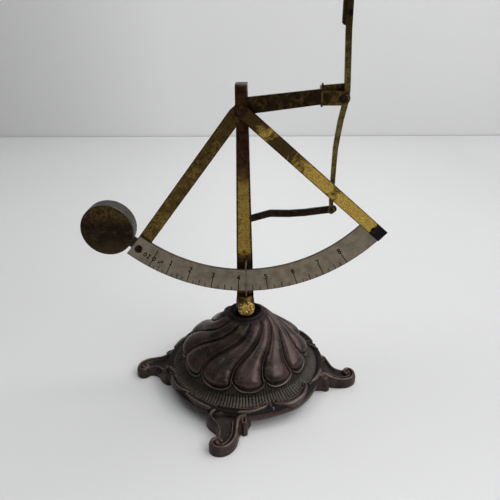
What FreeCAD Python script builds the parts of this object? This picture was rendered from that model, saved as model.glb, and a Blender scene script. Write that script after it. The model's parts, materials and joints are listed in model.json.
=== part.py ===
import FreeCAD, Part
import math
import os
import re
import Sketcher
from FreeCAD import Placement, Rotation, Vector

# A brass quadrant letter scale.  A cast iron base with four scroll feet carries a brass column
# that is bent over at its top.  A V of two spokes hangs from the pivot between the column and its
# bent leg, and carries the graduated arc and a disc counterweight.  A beam arm on the same hub
# lifts the pan rod, which a lower stay link keeps upright, so the three links make a parallelogram.
#
# Frame: millimetres, +Z up, the floor at z = 0, the column's axis on the Z axis.
# -Y is the front, where the graduations are read.

os.makedirs("parts", exist_ok=True)
doc = FreeCAD.newDocument("letter_scale")

# ---------------------------------------------------------------- driving dimensions
SIZES = [
    # heights and the three link pivots, the link pivots measured from the main pivot
    ("pivot_height", 149.9),
    ("beam_pivot_x", 46.1),
    ("beam_pivot_z", 4.4),
    ("stay_pivot_x", -2.0),
    ("stay_pivot_z", -54.1),
    # layers across the scale: y of the back of each flat piece, and the thicknesses
    ("leg_back", -6.9),
    ("right_spoke_back", -5.4),
    ("arc_back", -4.2),
    ("left_spoke_back", -3.0),
    ("weight_arm_back", -1.8),
    ("beam_back", -1.5),
    ("front_cheek_back", -0.3),
    ("column_back", 3.0),
    ("rod_back", 2.8),
    ("bracket_back", 4.0),
    ("stay_back", 4.5),
    ("back_cheek_back", 4.6),
    ("sheet_thick", 1.2),
    ("beam_thick", 1.5),
    ("rod_thick", 1.8),
    ("leg_thick", 2.3),
    ("column_thick", 4.0),
    # base casting
    ("ring_radius", 44.2),
    ("ring_low", 4.6),
    ("ring_high", 10.6),
    ("dome_radius", 35.0),
    ("dome_low", 16.4),
    ("neck_radius", 9.6),
    ("neck_height", 43.2),
    ("seat_height", 41.0),
    ("seat_thick", 5.2),
    ("wall", 2.6),
    ("foot_height", 5.2),
    ("foot_reach", 61.9),
    ("foot_turn", 7.5),
    ("foot_root_height", 8.6),
    ("lip_radius", 0.7),
    ("washer_radius", 6.0),
    ("washer_thick", 1.2),
    ("nut_radius", 4.6),
    ("nut_thick", 3.6),
    # column, which stands a little to the right of the pivot
    ("column_x", 0.6),
    ("column_top", 161.6),
    ("bar_top_width", 5.2),
    ("bar_mid_width", 5.85),
    ("bar_mid_height", 141.0),
    ("bar_low_width", 9.0),
    ("bar_low_height", 49.0),
    ("bend_radius", 2.0),
    ("notch_top", 77.6),
    ("notch_low", 52.5),
    ("notch_depth", 1.6),
    ("column_foot_radius", 4.9),
    ("stud_radius", 2.5),
    ("stud_low", 28.6),
    ("boss_height", 47.1),
    ("boss_radius", 4.3),
    ("boss_thick", 1.5),
    ("boss_x", 0.8),
    ("index_x", 1.5),
    ("index_wire_radius", 0.35),
    ("index_top", 74.6),
    ("index_low", 55.4),
    ("index_reach", 7.3),
    ("index_bend", 1.2),
    # quadrant
    ("arc_outer", 92.0),
    ("arc_inner", 79.6),
    ("arc_left_angle", 40.0),
    ("arc_right_angle", 50.3),
    ("left_spoke_angle", 37.4),
    ("right_spoke_angle", 48.4),
    ("spoke_hub_half", 2.8),
    ("spoke_neck", 2.6),
    ("left_spoke_half", 3.4),
    ("right_spoke_half", 3.1),
    ("spoke_shift", 0.55),
    ("right_spoke_reach", 91.9),
    ("left_spoke_reach", 90.2),
    ("arc_screw_at", 86.2),
    ("arc_screw_angle", 37.8),
    ("arc_rivet_at", 86.0),
    ("arc_screw_hole", 1.02),
    ("arc_nut_radius", 1.9),
    ("arc_nut_thick", 1.4),
    ("bush_outer", 2.0),
    ("bush_inner", 1.36),
    ("pivot_radius", 1.3),
    ("weight_angle", 49.7),
    ("weight_at", 87.4),
    ("weight_radius", 13.2),
    ("weight_thick", 8.4),
    ("weight_front", -9.1),
    ("weight_edge", 0.8),
    ("weight_arm_half", 3.0),
    ("weight_arm_tail", 7.0),
    # beam and yoke, measured from the main pivot
    ("beam_middle", 4.6),
    ("beam_low_left", -2.3),
    ("beam_high_left", 5.3),
    ("beam_end_radius", 4.0),
    ("beam_end_in", 1.0),
    ("beam_low_right", 2.2),
    ("beam_high_right", 8.9),
    ("web_left", 36.0),
    ("web_thick", 0.8),
    ("web_low", 1.5),
    ("web_high", 9.6),
    ("ear_low", 1.2),
    ("ear_high", 11.4),
    ("ear_back", -1.8),
    ("ear_front", -3.4),
    ("tenon_half", 2.35),
    ("tenon_end", 40.1),
    ("cheek_half", 3.1),
    ("back_cheek_low", 2.0),
    ("back_cheek_high", 10.3),
    ("yoke_pin_radius", 1.2),
    ("yoke_rivet_in", 2.1),
    ("yoke_rivet_head", 1.05),
    ("rivet_radius", 0.8),
    # pan rod, tray and stay
    ("rod_eye_radius", 2.5),
    ("rod_end_radius", 1.7),
    ("rod_pin_radius", 0.8),
    ("rod_top", 198.8),
    ("bracket_low", 184.3),
    ("bracket_left", -2.0),
    ("bracket_right", 2.2),
    ("flange_half_x", 11.0),
    ("flange_half_y", 8.0),
    ("tray_height", 200.0),
    ("tray_thick", 1.0),
    ("tray_half_x", 33.75),
    ("tray_half_y", 38.0),
    ("tray_corner", 11.0),
    ("tray_rim_thick", 1.2),
    ("tray_rim_rise", 0.8),
    ("rivet_head_thick", 0.5),
    ("tray_rivet_x", 7.0),
    ("tray_rivet_y", 5.0),
    ("bracket_rivet_x", 0.8),
    ("bracket_rivet_low", 9.6),
    ("bracket_rivet_high", 3.8),
    ("stay_half", 1.8),
    ("stay_left_half", 1.9),
    ("stay_eye_radius", 1.25),
    ("stay_wave", 1.0),
    ("stay_tail", 3.0),
    ("stay_screw_radius", 0.75),
    ("stay_screw_head", 1.1),
    # clearances, all radial or face to face
    ("fit_gap", 0.02),
    ("run_gap", 0.06),
]

sheet = doc.addObject("Spreadsheet::Sheet", "Sizes")
for row, (alias, number) in enumerate(SIZES, start=1):
    sheet.set("A%d" % row, alias)
    sheet.set("B%d" % row, str(number))
    sheet.setAlias("B%d" % row, alias)
doc.recompute()

ALIAS = re.compile(r"\b(%s)\b" % "|".join(alias for alias, _ in SIZES))
nodes = {}


# ---------------------------------------------------------------- helpers
def value(expression):
    """The number that an expression over the sheet gives."""
    return float(sheet.evalExpression(str(expression)))


def in_object(expression):
    """The same expression, as an object other than the sheet has to write it."""
    return ALIAS.sub(r"Sizes.\1", str(expression))


def bind(target, path, expression):
    target.setExpression(path, in_object(expression))


def place(target, x="0", y="0", z="0", turn=None, axis=(0, 1, 0)):
    """Puts an object at (x, y, z), turned about an axis by an angle in degrees."""
    angle = value(turn) if turn is not None else 0.0
    spot = Vector(value(x), value(y), value(z))
    target.Placement = Placement(spot, Rotation(Vector(*axis), angle))
    for letter, expression in zip("xyz", (x, y, z)):
        bind(target, "Placement.Base." + letter, expression)
    if turn is not None:
        bind(target, "Placement.Rotation.Angle", turn)
    return target


def new_body(label):
    body = doc.addObject("PartDesign::Body", label)
    nodes[label] = body
    return body


def keep(label, shape_object):
    shape_object.Label = label
    nodes[label] = shape_object
    return shape_object


def sketch_on(body, role, offset="0"):
    """A sketch on one of the body's origin planes, moved along that plane's normal."""
    plane = [item for item in body.Origin.OriginFeatures if item.Role == role][0]
    sketch = body.newObject("Sketcher::SketchObject", body.Name + "_sketch")
    sketch.AttachmentSupport = [(plane, "")]
    sketch.MapMode = "FlatFace"
    bind(sketch, "AttachmentOffset.Base.z", offset)
    return sketch


def front_sketch(body, back):
    """A sketch seen from the front, in the plane y = back: its x is X and its y is Z."""
    return sketch_on(body, "XZ_Plane", "-(%s)" % back)


def fix_point(sketch, geometry, point, x, y):
    for kind, expression in (("DistanceX", x), ("DistanceY", y)):
        number = sketch.addConstraint(Sketcher.Constraint(kind, geometry, point, value(expression)))
        bind(sketch, "Constraints[%d]" % number, expression)


def outline(sketch, corners):
    """A closed outline.  A corner is (x, y), or (x, y, radius, side) where the edge that
    arrives at it is an arc: side is 1 where its centre is left of the edge, else -1."""
    spots = [Vector(value(corner[0]), value(corner[1]), 0) for corner in corners]
    edges = []
    for index, corner in enumerate(corners):
        start, end = spots[index - 1], spots[index]
        if len(corner) == 2:
            edges.append(sketch.addGeometry(Part.LineSegment(start, end)))
            continue
        radius = value(corner[2])
        chord = end - start
        left = Vector(-chord.y, chord.x, 0).normalize() * corner[3]
        depth = math.sqrt(max(radius ** 2 - (chord.Length / 2) ** 2, 0.0))
        centre = (start + end) * 0.5 + left * depth
        middle = centre - left * radius
        number = sketch.addGeometry(Part.Arc(start, middle, end))
        edges.append(number)
    for index, corner in enumerate(corners):
        here, following = edges[index], edges[(index + 1) % len(edges)]
        here_end = 2 if ends_at(sketch, here, 2, spots[index]) else 1
        next_start = 1 if ends_at(sketch, following, 1, spots[index]) else 2
        sketch.addConstraint(Sketcher.Constraint("Coincident", here, here_end, following, next_start))
        fix_point(sketch, here, here_end, corner[0], corner[1])
        if len(corner) > 2:
            fix_arc(sketch, here, corners[index - 1], corner)
    return sketch


def fix_arc(sketch, geometry, before, corner):
    """Fixes an arc between two fixed ends: a half circle by its centre, any other by its radius."""
    across, up = value(corner[0]) - value(before[0]), value(corner[1]) - value(before[1])
    if abs(math.hypot(across, up) / 2 - value(corner[2])) > 1e-3:
        number = sketch.addConstraint(Sketcher.Constraint("Radius", geometry, value(corner[2])))
        bind(sketch, "Constraints[%d]" % number, corner[2])
        return
    kind, axis = ("DistanceY", 1) if abs(across) > abs(up) else ("DistanceX", 0)
    middle = "((%s) + (%s)) / 2" % (before[axis], corner[axis])
    number = sketch.addConstraint(Sketcher.Constraint(kind, geometry, 3, value(middle)))
    bind(sketch, "Constraints[%d]" % number, middle)


def ends_at(sketch, geometry, point, spot):
    return sketch.getPoint(geometry, point).distanceToPoint(spot) < 1e-6


def ring(sketch, x, y, radius):
    """A circle in a sketch."""
    centre = Vector(value(x), value(y), 0)
    number = sketch.addGeometry(Part.Circle(centre, Vector(0, 0, 1), value(radius)))
    fix_point(sketch, number, 3, x, y)
    size = sketch.addConstraint(Sketcher.Constraint("Radius", number, value(radius)))
    bind(sketch, "Constraints[%d]" % size, radius)
    return sketch


def pad(body, sketch, length, reverse=False, both=False):
    feature = body.newObject("PartDesign::Pad", body.Name + "_pad")
    feature.Profile = sketch
    bind(feature, "Length", length)
    feature.Reversed = reverse
    feature.Midplane = both
    doc.recompute()
    return feature


def pocket(body, sketch, length, reverse=False, both=False):
    """Cuts a pocket and makes sure that it took something away."""
    before = body.Shape.Volume
    feature = body.newObject("PartDesign::Pocket", body.Name + "_pocket")
    feature.Profile = sketch
    bind(feature, "Length", length)
    feature.Reversed = reverse
    feature.Midplane = both
    doc.recompute()
    if body.Shape.Volume > before - 1e-6:
        raise RuntimeError("a pocket of %s cut nothing" % body.Label)
    return feature


def turned(body, corners, role="XZ_Plane"):
    """A turned piece: a half outline, x outwards, revolved about the sketch's upright axis."""
    profile = outline(sketch_on(body, role), corners)
    feature = body.newObject("PartDesign::Revolution", body.Name + "_turned")
    feature.Profile = profile
    feature.ReferenceAxis = (profile, ["V_Axis"])
    feature.Angle = 360
    doc.recompute()
    return feature


def holes(body, back, length, spots):
    """Round holes from the front, from y = back forwards; spots holds (x, z, radius)."""
    for x, z, radius in spots:
        pocket(body, ring(front_sketch(body, back), x, z, radius), length, reverse=True)


def turned_pin(label, steps, front):
    """A pin along Y: steps holds (radius, y) pairs from the front end to the back end, and
    the pin's first radius starts at y = front."""
    body = new_body(label)
    corners = [("0", front)]
    level = front
    for radius, upto in steps:
        corners.append((radius, level))
        corners.append((radius, upto))
        level = upto
    corners.append(("0", level))
    turned(body, corners, "XY_Plane")
    return body


def hexagon(sketch, radius):
    corners = ["%d" % (60 * side) for side in range(6)]
    return outline(sketch, [("%s * cos(%s)" % (radius, a), "%s * sin(%s)" % (radius, a)) for a in corners])


def flat_washer(label, outer, inner, back, thickness):
    body = new_body(label)
    sketch = front_sketch(body, back)
    ring(sketch, "0", "0", outer)
    ring(sketch, "0", "0", inner)
    pad(body, sketch, thickness)
    return body


# ---------------------------------------------------------------- base casting
FOOT_DIRECTIONS = (-90, 0, 90, 186)
FOOT_HANDS = (1, -1, 1, -1)


def foot_corners(local, direction, hand):
    """A plan outline given as (out, side) of a foot, turned to its direction; hand mirrors it."""
    turn = "(%d - foot_turn)" % direction
    corners = []
    for corner in local:
        out, side = corner[0], "(%s) * %d" % (corner[1], hand)
        x = "(%s) * cos(%s) - (%s) * sin(%s)" % (out, turn, side, turn)
        y = "(%s) * sin(%s) + (%s) * cos(%s)" % (out, turn, side, turn)
        corners.append((x, y) if len(corner) == 2 else (x, y, corner[2], -corner[3] * hand))
    return corners


def scroll_foot(body, direction, hand):
    """One foot: a low scroll that lies on the table and a root block under the ring."""
    root, reach = "ring_radius", "foot_reach"
    scroll = [
        (root + " - 3.4", "8.9"),
        (root + " + 1.0", "8.6"),
        (root + " + 3.8", "6.4", "1.9", 1),
        (reach + " - 7.9", "5.0"),
        (reach, "-3.2", "8.5", 1),
        (reach + " - 4.9", "-8.0", "4.6", 1),
        (reach + " - 7.3", "-4.9", "2.6", 1),
        (root + " + 2.6", "-7.8", "6.5", -1),
        (root + " - 1.7", "-12.3", "4.0", 1),
        (root + " - 4.2", "-11.5"),
    ]
    block = [
        (root + " - 3.0", "8.2"),
        (root + " + 2.0", "7.8"),
        (root + " + 2.4", "-7.4"),
        (root + " - 1.6", "-11.6"),
        (root + " - 3.6", "-10.8"),
    ]
    for local, height in ((scroll, "foot_height"), (block, "foot_root_height")):
        plan = outline(sketch_on(body, "XY_Plane"), foot_corners(local, direction, hand))
        pad(body, plan, height)


def base_casting():
    body = new_body("base_casting")
    outside = [
        ("0", "seat_height"),
        ("neck_radius - 1.5", "seat_height"),
        ("neck_radius - 1.5", "neck_height - lip_radius"),
        ("neck_radius - 0.1", "neck_height - lip_radius", "lip_radius", -1),
        ("neck_radius", "seat_height + 0.2"),
        ("11.8", "40.2", "1.6", -1),
        ("14.6", "36.8"),
        ("dome_radius - 4.2", "dome_low + 6.0", "46.0", 1),
        ("dome_radius", "dome_low + 1.0", "7.0", -1),
        ("dome_radius - 0.8", "dome_low - 1.2"),
        ("ring_radius - 4.4", "ring_high - 0.2", "14.0", 1),
        ("ring_radius - 1.2", "ring_high - 0.6", "2.0", -1),
        ("ring_radius", "ring_high - 4.0", "3.6", -1),
        ("ring_radius - 1.0", "ring_low"),
        ("ring_radius - wall - 0.6", "ring_low"),
        ("dome_radius - wall - 0.6", "dome_low - 2.4"),
        ("dome_radius - wall - 5.2", "dome_low + 4.4"),
        ("13.4 - wall", "seat_height - seat_thick - 1.6"),
        ("neck_radius - 0.8", "seat_height - seat_thick"),
        ("0", "seat_height - seat_thick"),
    ]
    turned(body, outside)
    for direction, hand in zip(FOOT_DIRECTIONS, FOOT_HANDS):
        scroll_foot(body, direction, hand)
    bore = ring(sketch_on(body, "XY_Plane", "stud_low"), "column_x", "0", "stud_radius + fit_gap")
    pocket(body, bore, "20", reverse=True)


def base_fastening():
    """The washer and nut that hold the column's stud, inside the hollow casting."""
    washer = new_body("column_washer")
    sketch = sketch_on(washer, "XY_Plane", "seat_height - seat_thick - washer_thick")
    ring(sketch, "0", "0", "washer_radius")
    ring(sketch, "0", "0", "stud_radius + 0.2")
    pad(washer, sketch, "washer_thick")
    place(washer, x="column_x")
    nut = new_body("column_nut")
    sketch = sketch_on(nut, "XY_Plane", "seat_height - seat_thick - washer_thick - nut_thick")
    hexagon(sketch, "nut_radius")
    ring(sketch, "0", "0", "stud_radius + fit_gap")
    pad(nut, sketch, "nut_thick")
    place(nut, x="column_x")


# ---------------------------------------------------------------- column
def column():
    """The column, drawn about its own middle and then placed beside the pivot's axis."""
    body = new_body("column")
    bar = outline(front_sketch(body, "column_back"), [
        ("-bar_low_width / 2", "bar_low_height"),
        ("bar_low_width / 2", "bar_low_height"),
        ("bar_mid_width / 2", "bar_mid_height"),
        ("bar_top_width / 2", "column_top - 3.0"),
        ("-bar_top_width / 2", "column_top - 3.0"),
        ("-bar_mid_width / 2", "bar_mid_height"),
    ])
    pad(body, bar, "column_thick")
    hook = outline(sketch_on(body, "YZ_Plane"), [
        ("column_back", "column_top - 6.0"),
        ("column_back", "column_top - bend_radius"),
        ("column_back - bend_radius", "column_top", "bend_radius", 1),
        ("leg_back - leg_thick + bend_radius", "column_top"),
        ("leg_back - leg_thick", "column_top - bend_radius", "bend_radius", 1),
        ("leg_back - leg_thick", "pivot_height"),
        ("leg_back", "pivot_height"),
        ("leg_back", "column_top - leg_thick"),
        ("column_back - column_thick", "column_top - leg_thick"),
        ("column_back - column_thick", "column_top - 6.0"),
    ])
    pad(body, hook, "bar_top_width", both=True)
    leg_end = ring(front_sketch(body, "leg_back"), "0", "pivot_height", "bar_top_width / 2")
    pad(body, leg_end, "leg_thick")
    front = "column_back - column_thick"
    notch = outline(sketch_on(body, "YZ_Plane"), [
        (front + " - 1", "notch_low"),
        (front + " + notch_depth", "notch_low"),
        (front + " + notch_depth", "notch_top"),
        (front + " - 1", "notch_top"),
    ])
    pocket(body, notch, "20", both=True)
    turned(body, [
        ("0", "stud_low"),
        ("stud_radius", "stud_low"),
        ("stud_radius", "seat_height"),
        ("column_foot_radius", "seat_height"),
        ("column_foot_radius", "notch_low - 3.2"),
        ("column_foot_radius - 2.0", "notch_low - 0.2", "4.0", 1),
        ("0", "notch_low - 0.2"),
    ])
    holes(body, "column_back", "20", [("-column_x", "pivot_height", "pivot_radius + fit_gap")])
    screw_x, screw_z = "stay_pivot_x - column_x", "pivot_height + stay_pivot_z"
    blind = ring(front_sketch(body, "column_back"), screw_x, screw_z, "stay_screw_radius + fit_gap")
    pocket(body, blind, "2.4", reverse=True)
    for height in ("index_top", "index_low"):
        leg = ring(front_sketch(body, front + " + notch_depth + 1.2"), "index_x - column_x", height,
                   "index_wire_radius + fit_gap")
        pocket(body, leg, "6", reverse=True)
    place(body, x="column_x")


def foot_boss():
    """The round granulated boss on the front of the column's foot."""
    body = new_body("foot_boss")
    back = "-column_foot_radius - 0.02"
    disc = ring(front_sketch(body, back), "boss_x", "boss_height", "boss_radius")
    pad(body, disc, "boss_thick")
    place(body, x="column_x")


def index_wire():
    """The wire staple that bridges the arc; its front run is the reading line."""
    body = new_body("index_wire")
    front, bend = "-index_reach", "index_bend"
    back = "column_back - column_thick + notch_depth + 1.0"
    path = sketch_on(body, "YZ_Plane", "index_x")
    spots = [
        (back, "index_top"),
        (front + " + " + bend, "index_top"),
        (front, "index_top - " + bend),
        (front, "index_low + " + bend),
        (front + " + " + bend, "index_low"),
        (back, "index_low"),
    ]
    points = [Vector(value(y), value(z), 0) for y, z in spots]
    runs = {}
    for index in (0, 2, 4):
        runs[index] = path.addGeometry(Part.LineSegment(points[index], points[index + 1]))
        fix_point(path, runs[index], 1, *spots[index])
        fix_point(path, runs[index], 2, *spots[index + 1])
    size = value(bend)
    for index, rise in ((1, 1), (3, -1)):
        slant = Vector(-1, rise, 0).normalize()
        centre = Vector(points[1].x, points[index + (index == 1)].y, 0)
        arc = path.addGeometry(Part.Arc(points[index], centre + slant * size, points[index + 1]))
        for end in (1, 2):
            before = ends_at(path, arc, end, points[index])
            run, run_end = (runs[index - 1], 2) if before else (runs[index + 1], 1)
            path.addConstraint(Sketcher.Constraint("Coincident", arc, end, run, run_end))
        radius = path.addConstraint(Sketcher.Constraint("Radius", arc, size))
        bind(path, "Constraints[%d]" % radius, bend)
    section = ring(front_sketch(body, back), "index_x", "index_top", "index_wire_radius")
    doc.recompute()
    pipe = body.newObject("PartDesign::AdditivePipe", "index_wire_pipe")
    pipe.Profile = section
    pipe.Spine = path
    doc.recompute()


# ---------------------------------------------------------------- quadrant
def polar(radius, angle):
    """A point at a radius from the pivot, its angle from straight down, left positive."""
    return ("-(%s) * sin(%s)" % (radius, angle), "-(%s) * cos(%s)" % (radius, angle))


def spoke(label, back, half, reach, angle, shift):
    """A spoke that hangs straight down before it is turned; shift moves it sideways off the hub."""
    body = new_body(label)
    hub = "spoke_hub_half"
    bar = outline(front_sketch(body, back), [
        ("%s - %s" % (shift, half), "-" + reach),
        ("%s + %s" % (shift, half), "-" + reach),
        ("%s + %s" % (shift, half), "-spoke_neck"),
        ("%s + %s" % (shift, hub), "0"),
        ("%s - %s" % (shift, hub), "0", hub, 1),
        ("%s - %s" % (shift, half), "-spoke_neck"),
    ])
    pad(body, bar, "sheet_thick")
    holes(body, back, "4", [("0", "0", "bush_outer + fit_gap")])
    place(body, z="pivot_height", turn=angle)
    return body


def spokes():
    left = spoke("left_spoke", "left_spoke_back", "left_spoke_half", "left_spoke_reach",
                 "left_spoke_angle", "-spoke_shift")
    swing = "(arc_screw_angle - left_spoke_angle)"
    x, z = polar("arc_screw_at", swing)
    holes(left, "left_spoke_back", "4", [(x, z, "arc_screw_hole")])
    right = spoke("right_spoke", "right_spoke_back", "right_spoke_half", "right_spoke_reach",
                  "-right_spoke_angle", "spoke_shift")
    holes(right, "right_spoke_back", "4", [("0", "-arc_rivet_at", "rivet_radius + fit_gap")])


def arc_plate():
    body = new_body("arc_plate")
    right = "(-arc_right_angle)"
    corners = [
        polar("arc_outer", "arc_left_angle"),
        polar("arc_outer", right) + ("arc_outer", 1),
        polar("arc_inner", right),
        polar("arc_inner", "arc_left_angle") + ("arc_inner", -1),
    ]
    pad(body, outline(front_sketch(body, "arc_back"), corners), "sheet_thick")
    screw = polar("arc_screw_at", "arc_screw_angle") + ("arc_screw_hole",)
    rivet = polar("arc_rivet_at", "(-right_spoke_angle)") + ("rivet_radius + fit_gap",)
    holes(body, "arc_back", "4", [screw, rivet])
    place(body, z="pivot_height")


def arc_fasteners():
    """The slotted screw and nut at the arc's left end, and the rivet under its right end."""
    x, z = polar("arc_screw_at", "arc_screw_angle")
    front = "arc_back - sheet_thick"
    screw = turned_pin("arc_screw", [
        ("1.5", "%s - 0.7" % front),
        ("1.9", front),
        ("arc_screw_hole - fit_gap", "weight_arm_back + 1.8"),
    ], "%s - 1.1" % front)
    slot = outline(front_sketch(screw, "%s - 0.6" % front), [
        ("-2.2", "-0.3"), ("2.2", "-0.3"), ("2.2", "0.3"), ("-2.2", "0.3"),
    ])
    pocket(screw, slot, "1.2", reverse=True)
    place(screw, x=x, z="pivot_height + (%s)" % z, turn="18")
    nut = new_body("arc_nut")
    sketch = front_sketch(nut, "weight_arm_back + arc_nut_thick")
    hexagon(sketch, "arc_nut_radius")
    ring(sketch, "0", "0", "arc_screw_hole")
    pad(nut, sketch, "arc_nut_thick")
    place(nut, x=x, z="pivot_height + (%s)" % z)
    x, z = polar("arc_rivet_at", "(-right_spoke_angle)")
    face = "right_spoke_back - sheet_thick"
    rivet = turned_pin("arc_rivet", [
        ("1.0", "%s - 0.4" % face),
        ("1.5", face),
        ("rivet_radius", "arc_back"),
        ("1.4", "arc_back + 0.6"),
    ], "%s - 0.7" % face)
    place(rivet, x=x, z="pivot_height + (%s)" % z)


def hub_pieces():
    bush = turned_pin("hub_bush", [("bush_outer", "beam_back + 0.25")], "leg_back + 0.15")
    bore = ring(front_sketch(bush, "beam_back + 1"), "0", "0", "bush_inner")
    pocket(bush, bore, "12", reverse=True)
    place(bush, z="pivot_height")
    spacer = flat_washer("hub_spacer", "spoke_hub_half", "bush_outer + fit_gap", "arc_back", "sheet_thick")
    place(spacer, z="pivot_height")
    leg_front = "leg_back - leg_thick"
    pin = turned_pin("pivot_pin", [
        ("1.0", "%s - 0.25" % leg_front),
        ("pivot_radius", "column_back"),
        ("1.9", "column_back + 0.4"),
        ("1.2", "column_back + 0.9"),
    ], "%s - 0.5" % leg_front)
    place(pin, z="pivot_height")


def counterweight():
    body = new_body("counterweight")
    back = "weight_front + weight_thick"
    turned(body, [
        ("0", "weight_front"),
        ("weight_radius - weight_edge", "weight_front"),
        ("weight_radius", "weight_front + weight_edge", "weight_edge", 1),
        ("weight_radius", back + " - weight_edge"),
        ("weight_radius - weight_edge", back, "weight_edge", 1),
        ("0", back),
    ], "XY_Plane")
    half = "weight_arm_half + fit_gap"
    slot = outline(front_sketch(body, "weight_arm_back + fit_gap"), [
        ("-weight_arm_tail - fit_gap", "-(%s)" % half),
        ("weight_radius + 2", "-(%s)" % half),
        ("weight_radius + 2", half),
        ("-weight_arm_tail - fit_gap", half),
    ])
    pocket(body, slot, "sheet_thick + 2 * fit_gap", reverse=True)
    place_on_weight(body)


def weight_to_screw():
    """How far the arc's screw is from the weight's centre, in x and in z."""
    weight, screw = polar("weight_at", "weight_angle"), polar("arc_screw_at", "arc_screw_angle")
    return tuple("((%s) - (%s))" % pair for pair in zip(screw, weight))


def place_on_weight(body):
    """Puts a body at the weight's centre with its x axis towards the arc's screw."""
    x, z = polar("weight_at", "weight_angle")
    across, up = weight_to_screw()
    place(body, x=x, z="pivot_height + (%s)" % z, turn="-atan2(%s; %s)" % (up, across))


def counterweight_arm():
    """The strap from behind the arc's end into the counterweight, drawn from the weight."""
    body = new_body("counterweight_arm")
    half, tail = "weight_arm_half", "-weight_arm_tail"
    reach = "hypot(%s; %s)" % weight_to_screw()
    strap = outline(front_sketch(body, "weight_arm_back"), [
        (tail, "-" + half), (reach, "-" + half), (reach, half, half, 1), (tail, half),
    ])
    pad(body, strap, "sheet_thick")
    holes(body, "weight_arm_back", "4", [(reach, "0", "arc_screw_hole")])
    place_on_weight(body)


# ---------------------------------------------------------------- beam and yoke
def beam_arm():
    body = new_body("beam_arm")
    middle = "beam_middle"
    bar = outline(front_sketch(body, "beam_back"), [
        ("0", "beam_low_left", "beam_end_radius", 1),
        ("web_left", "beam_low_right"),
        ("web_left", "%s - tenon_half" % middle),
        ("tenon_end - tenon_half", "%s - tenon_half" % middle),
        ("tenon_end - tenon_half", "%s + tenon_half" % middle, "tenon_half", 1),
        ("web_left", "%s + tenon_half" % middle),
        ("web_left", "beam_high_right"),
        ("beam_end_in", "beam_high_left + 0.1"),
    ])
    pad(body, bar, "beam_thick")
    holes(body, "beam_back", "4", [
        ("0", "0", "bush_outer + fit_gap"),
        ("tenon_end - yoke_rivet_in", middle, "rivet_radius + fit_gap"),
    ])
    place(body, z="pivot_height")


def upright(body, back, low, high):
    """An upright strip of the yoke's web, from low to high."""
    return outline(front_sketch(body, back), [
        ("web_left", low),
        ("web_left + web_thick", low),
        ("web_left + web_thick", high),
        ("web_left", high),
    ])


def yoke():
    body = new_body("yoke")
    middle = "beam_middle"
    front_cheek = outline(front_sketch(body, "front_cheek_back"), [
        ("web_left", "%s - cheek_half" % middle),
        ("beam_pivot_x", "%s - cheek_half" % middle),
        ("beam_pivot_x", "%s + cheek_half" % middle, "cheek_half", 1),
        ("web_left", "%s + cheek_half" % middle),
    ])
    pad(body, front_cheek, "sheet_thick")
    back_cheek = outline(front_sketch(body, "back_cheek_back"), [
        ("web_left", "back_cheek_low + 1.4"),
        ("beam_pivot_x", "back_cheek_low"),
        ("beam_pivot_x + 2.6", "back_cheek_low + 2.6", "2.6", 1),
        ("beam_pivot_x + 2.6", "back_cheek_high + 0.3"),
        ("web_left", "back_cheek_high - 0.6"),
    ])
    pad(body, back_cheek, "sheet_thick")
    pad(body, upright(body, "back_cheek_back", "web_low", "web_high"), "back_cheek_back - ear_front")
    pad(body, upright(body, "ear_back", "ear_low", "ear_high"), "ear_back - ear_front")
    slot = outline(front_sketch(body, "beam_back + fit_gap"), [
        ("web_left - 1", "%s - tenon_half - fit_gap" % middle),
        ("web_left + web_thick + 0.5", "%s - tenon_half - fit_gap" % middle),
        ("web_left + web_thick + 0.5", "%s + tenon_half + fit_gap" % middle),
        ("web_left - 1", "%s + tenon_half + fit_gap" % middle),
    ])
    pocket(body, slot, "beam_thick + 2 * fit_gap", reverse=True)
    holes(body, "back_cheek_back", "10", [("beam_pivot_x", "beam_pivot_z", "yoke_pin_radius + fit_gap")])
    holes(body, "front_cheek_back", "4", [("tenon_end - yoke_rivet_in", middle, "rivet_radius + fit_gap")])
    place(body, z="pivot_height")


def yoke_fasteners():
    middle = "beam_middle"
    rivet = turned_pin("yoke_rivet", [
        ("yoke_rivet_head", "beam_back - beam_thick"),
        ("rivet_radius", "front_cheek_back"),
        ("yoke_rivet_head", "front_cheek_back + 0.4"),
    ], "beam_back - beam_thick - 0.25")
    place(rivet, x="tenon_end - yoke_rivet_in", z="pivot_height + %s" % middle)
    face = "front_cheek_back - sheet_thick"
    pin = turned_pin("yoke_pin", [
        ("1.5", "%s - 0.5" % face),
        ("1.9", face),
        ("yoke_pin_radius", "back_cheek_back"),
        ("1.7", "back_cheek_back + 0.5"),
    ], "%s - 0.8" % face)
    place(pin, x="beam_pivot_x", z="pivot_height + beam_pivot_z")
    gap = "rod_back - rod_thick - front_cheek_back - 0.2"
    spacer = flat_washer("yoke_spacer", "2.1", "yoke_pin_radius + fit_gap", "rod_back - rod_thick - 0.2", gap)
    place(spacer, x="beam_pivot_x", z="pivot_height + beam_pivot_z")


# ---------------------------------------------------------------- pan rod, tray and stay
ROD_LINE = [  # the bent rod: x and z of its middle, from the beam pivot, and its half width
    ("0.8", "36.0", "1.35"), ("0.85", "28.0", "1.35"), ("1.35", "17.0", "1.35"), ("1.75", "7.7", "1.35"),
    ("1.95", "3.4", "1.35"), ("1.6", "-1.0", "1.35"), ("1.05", "-4.1", "1.35"), ("-0.15", "-10.0", "1.3"),
    ("-1.1", "-17.0", "1.25"), ("-1.75", "-23.0", "1.2"), ("-2.0", "-31.0", "1.15"), ("-2.1", "-39.0", "1.1"),
    ("-2.3", "-48.5", "1.0"),
]


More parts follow.
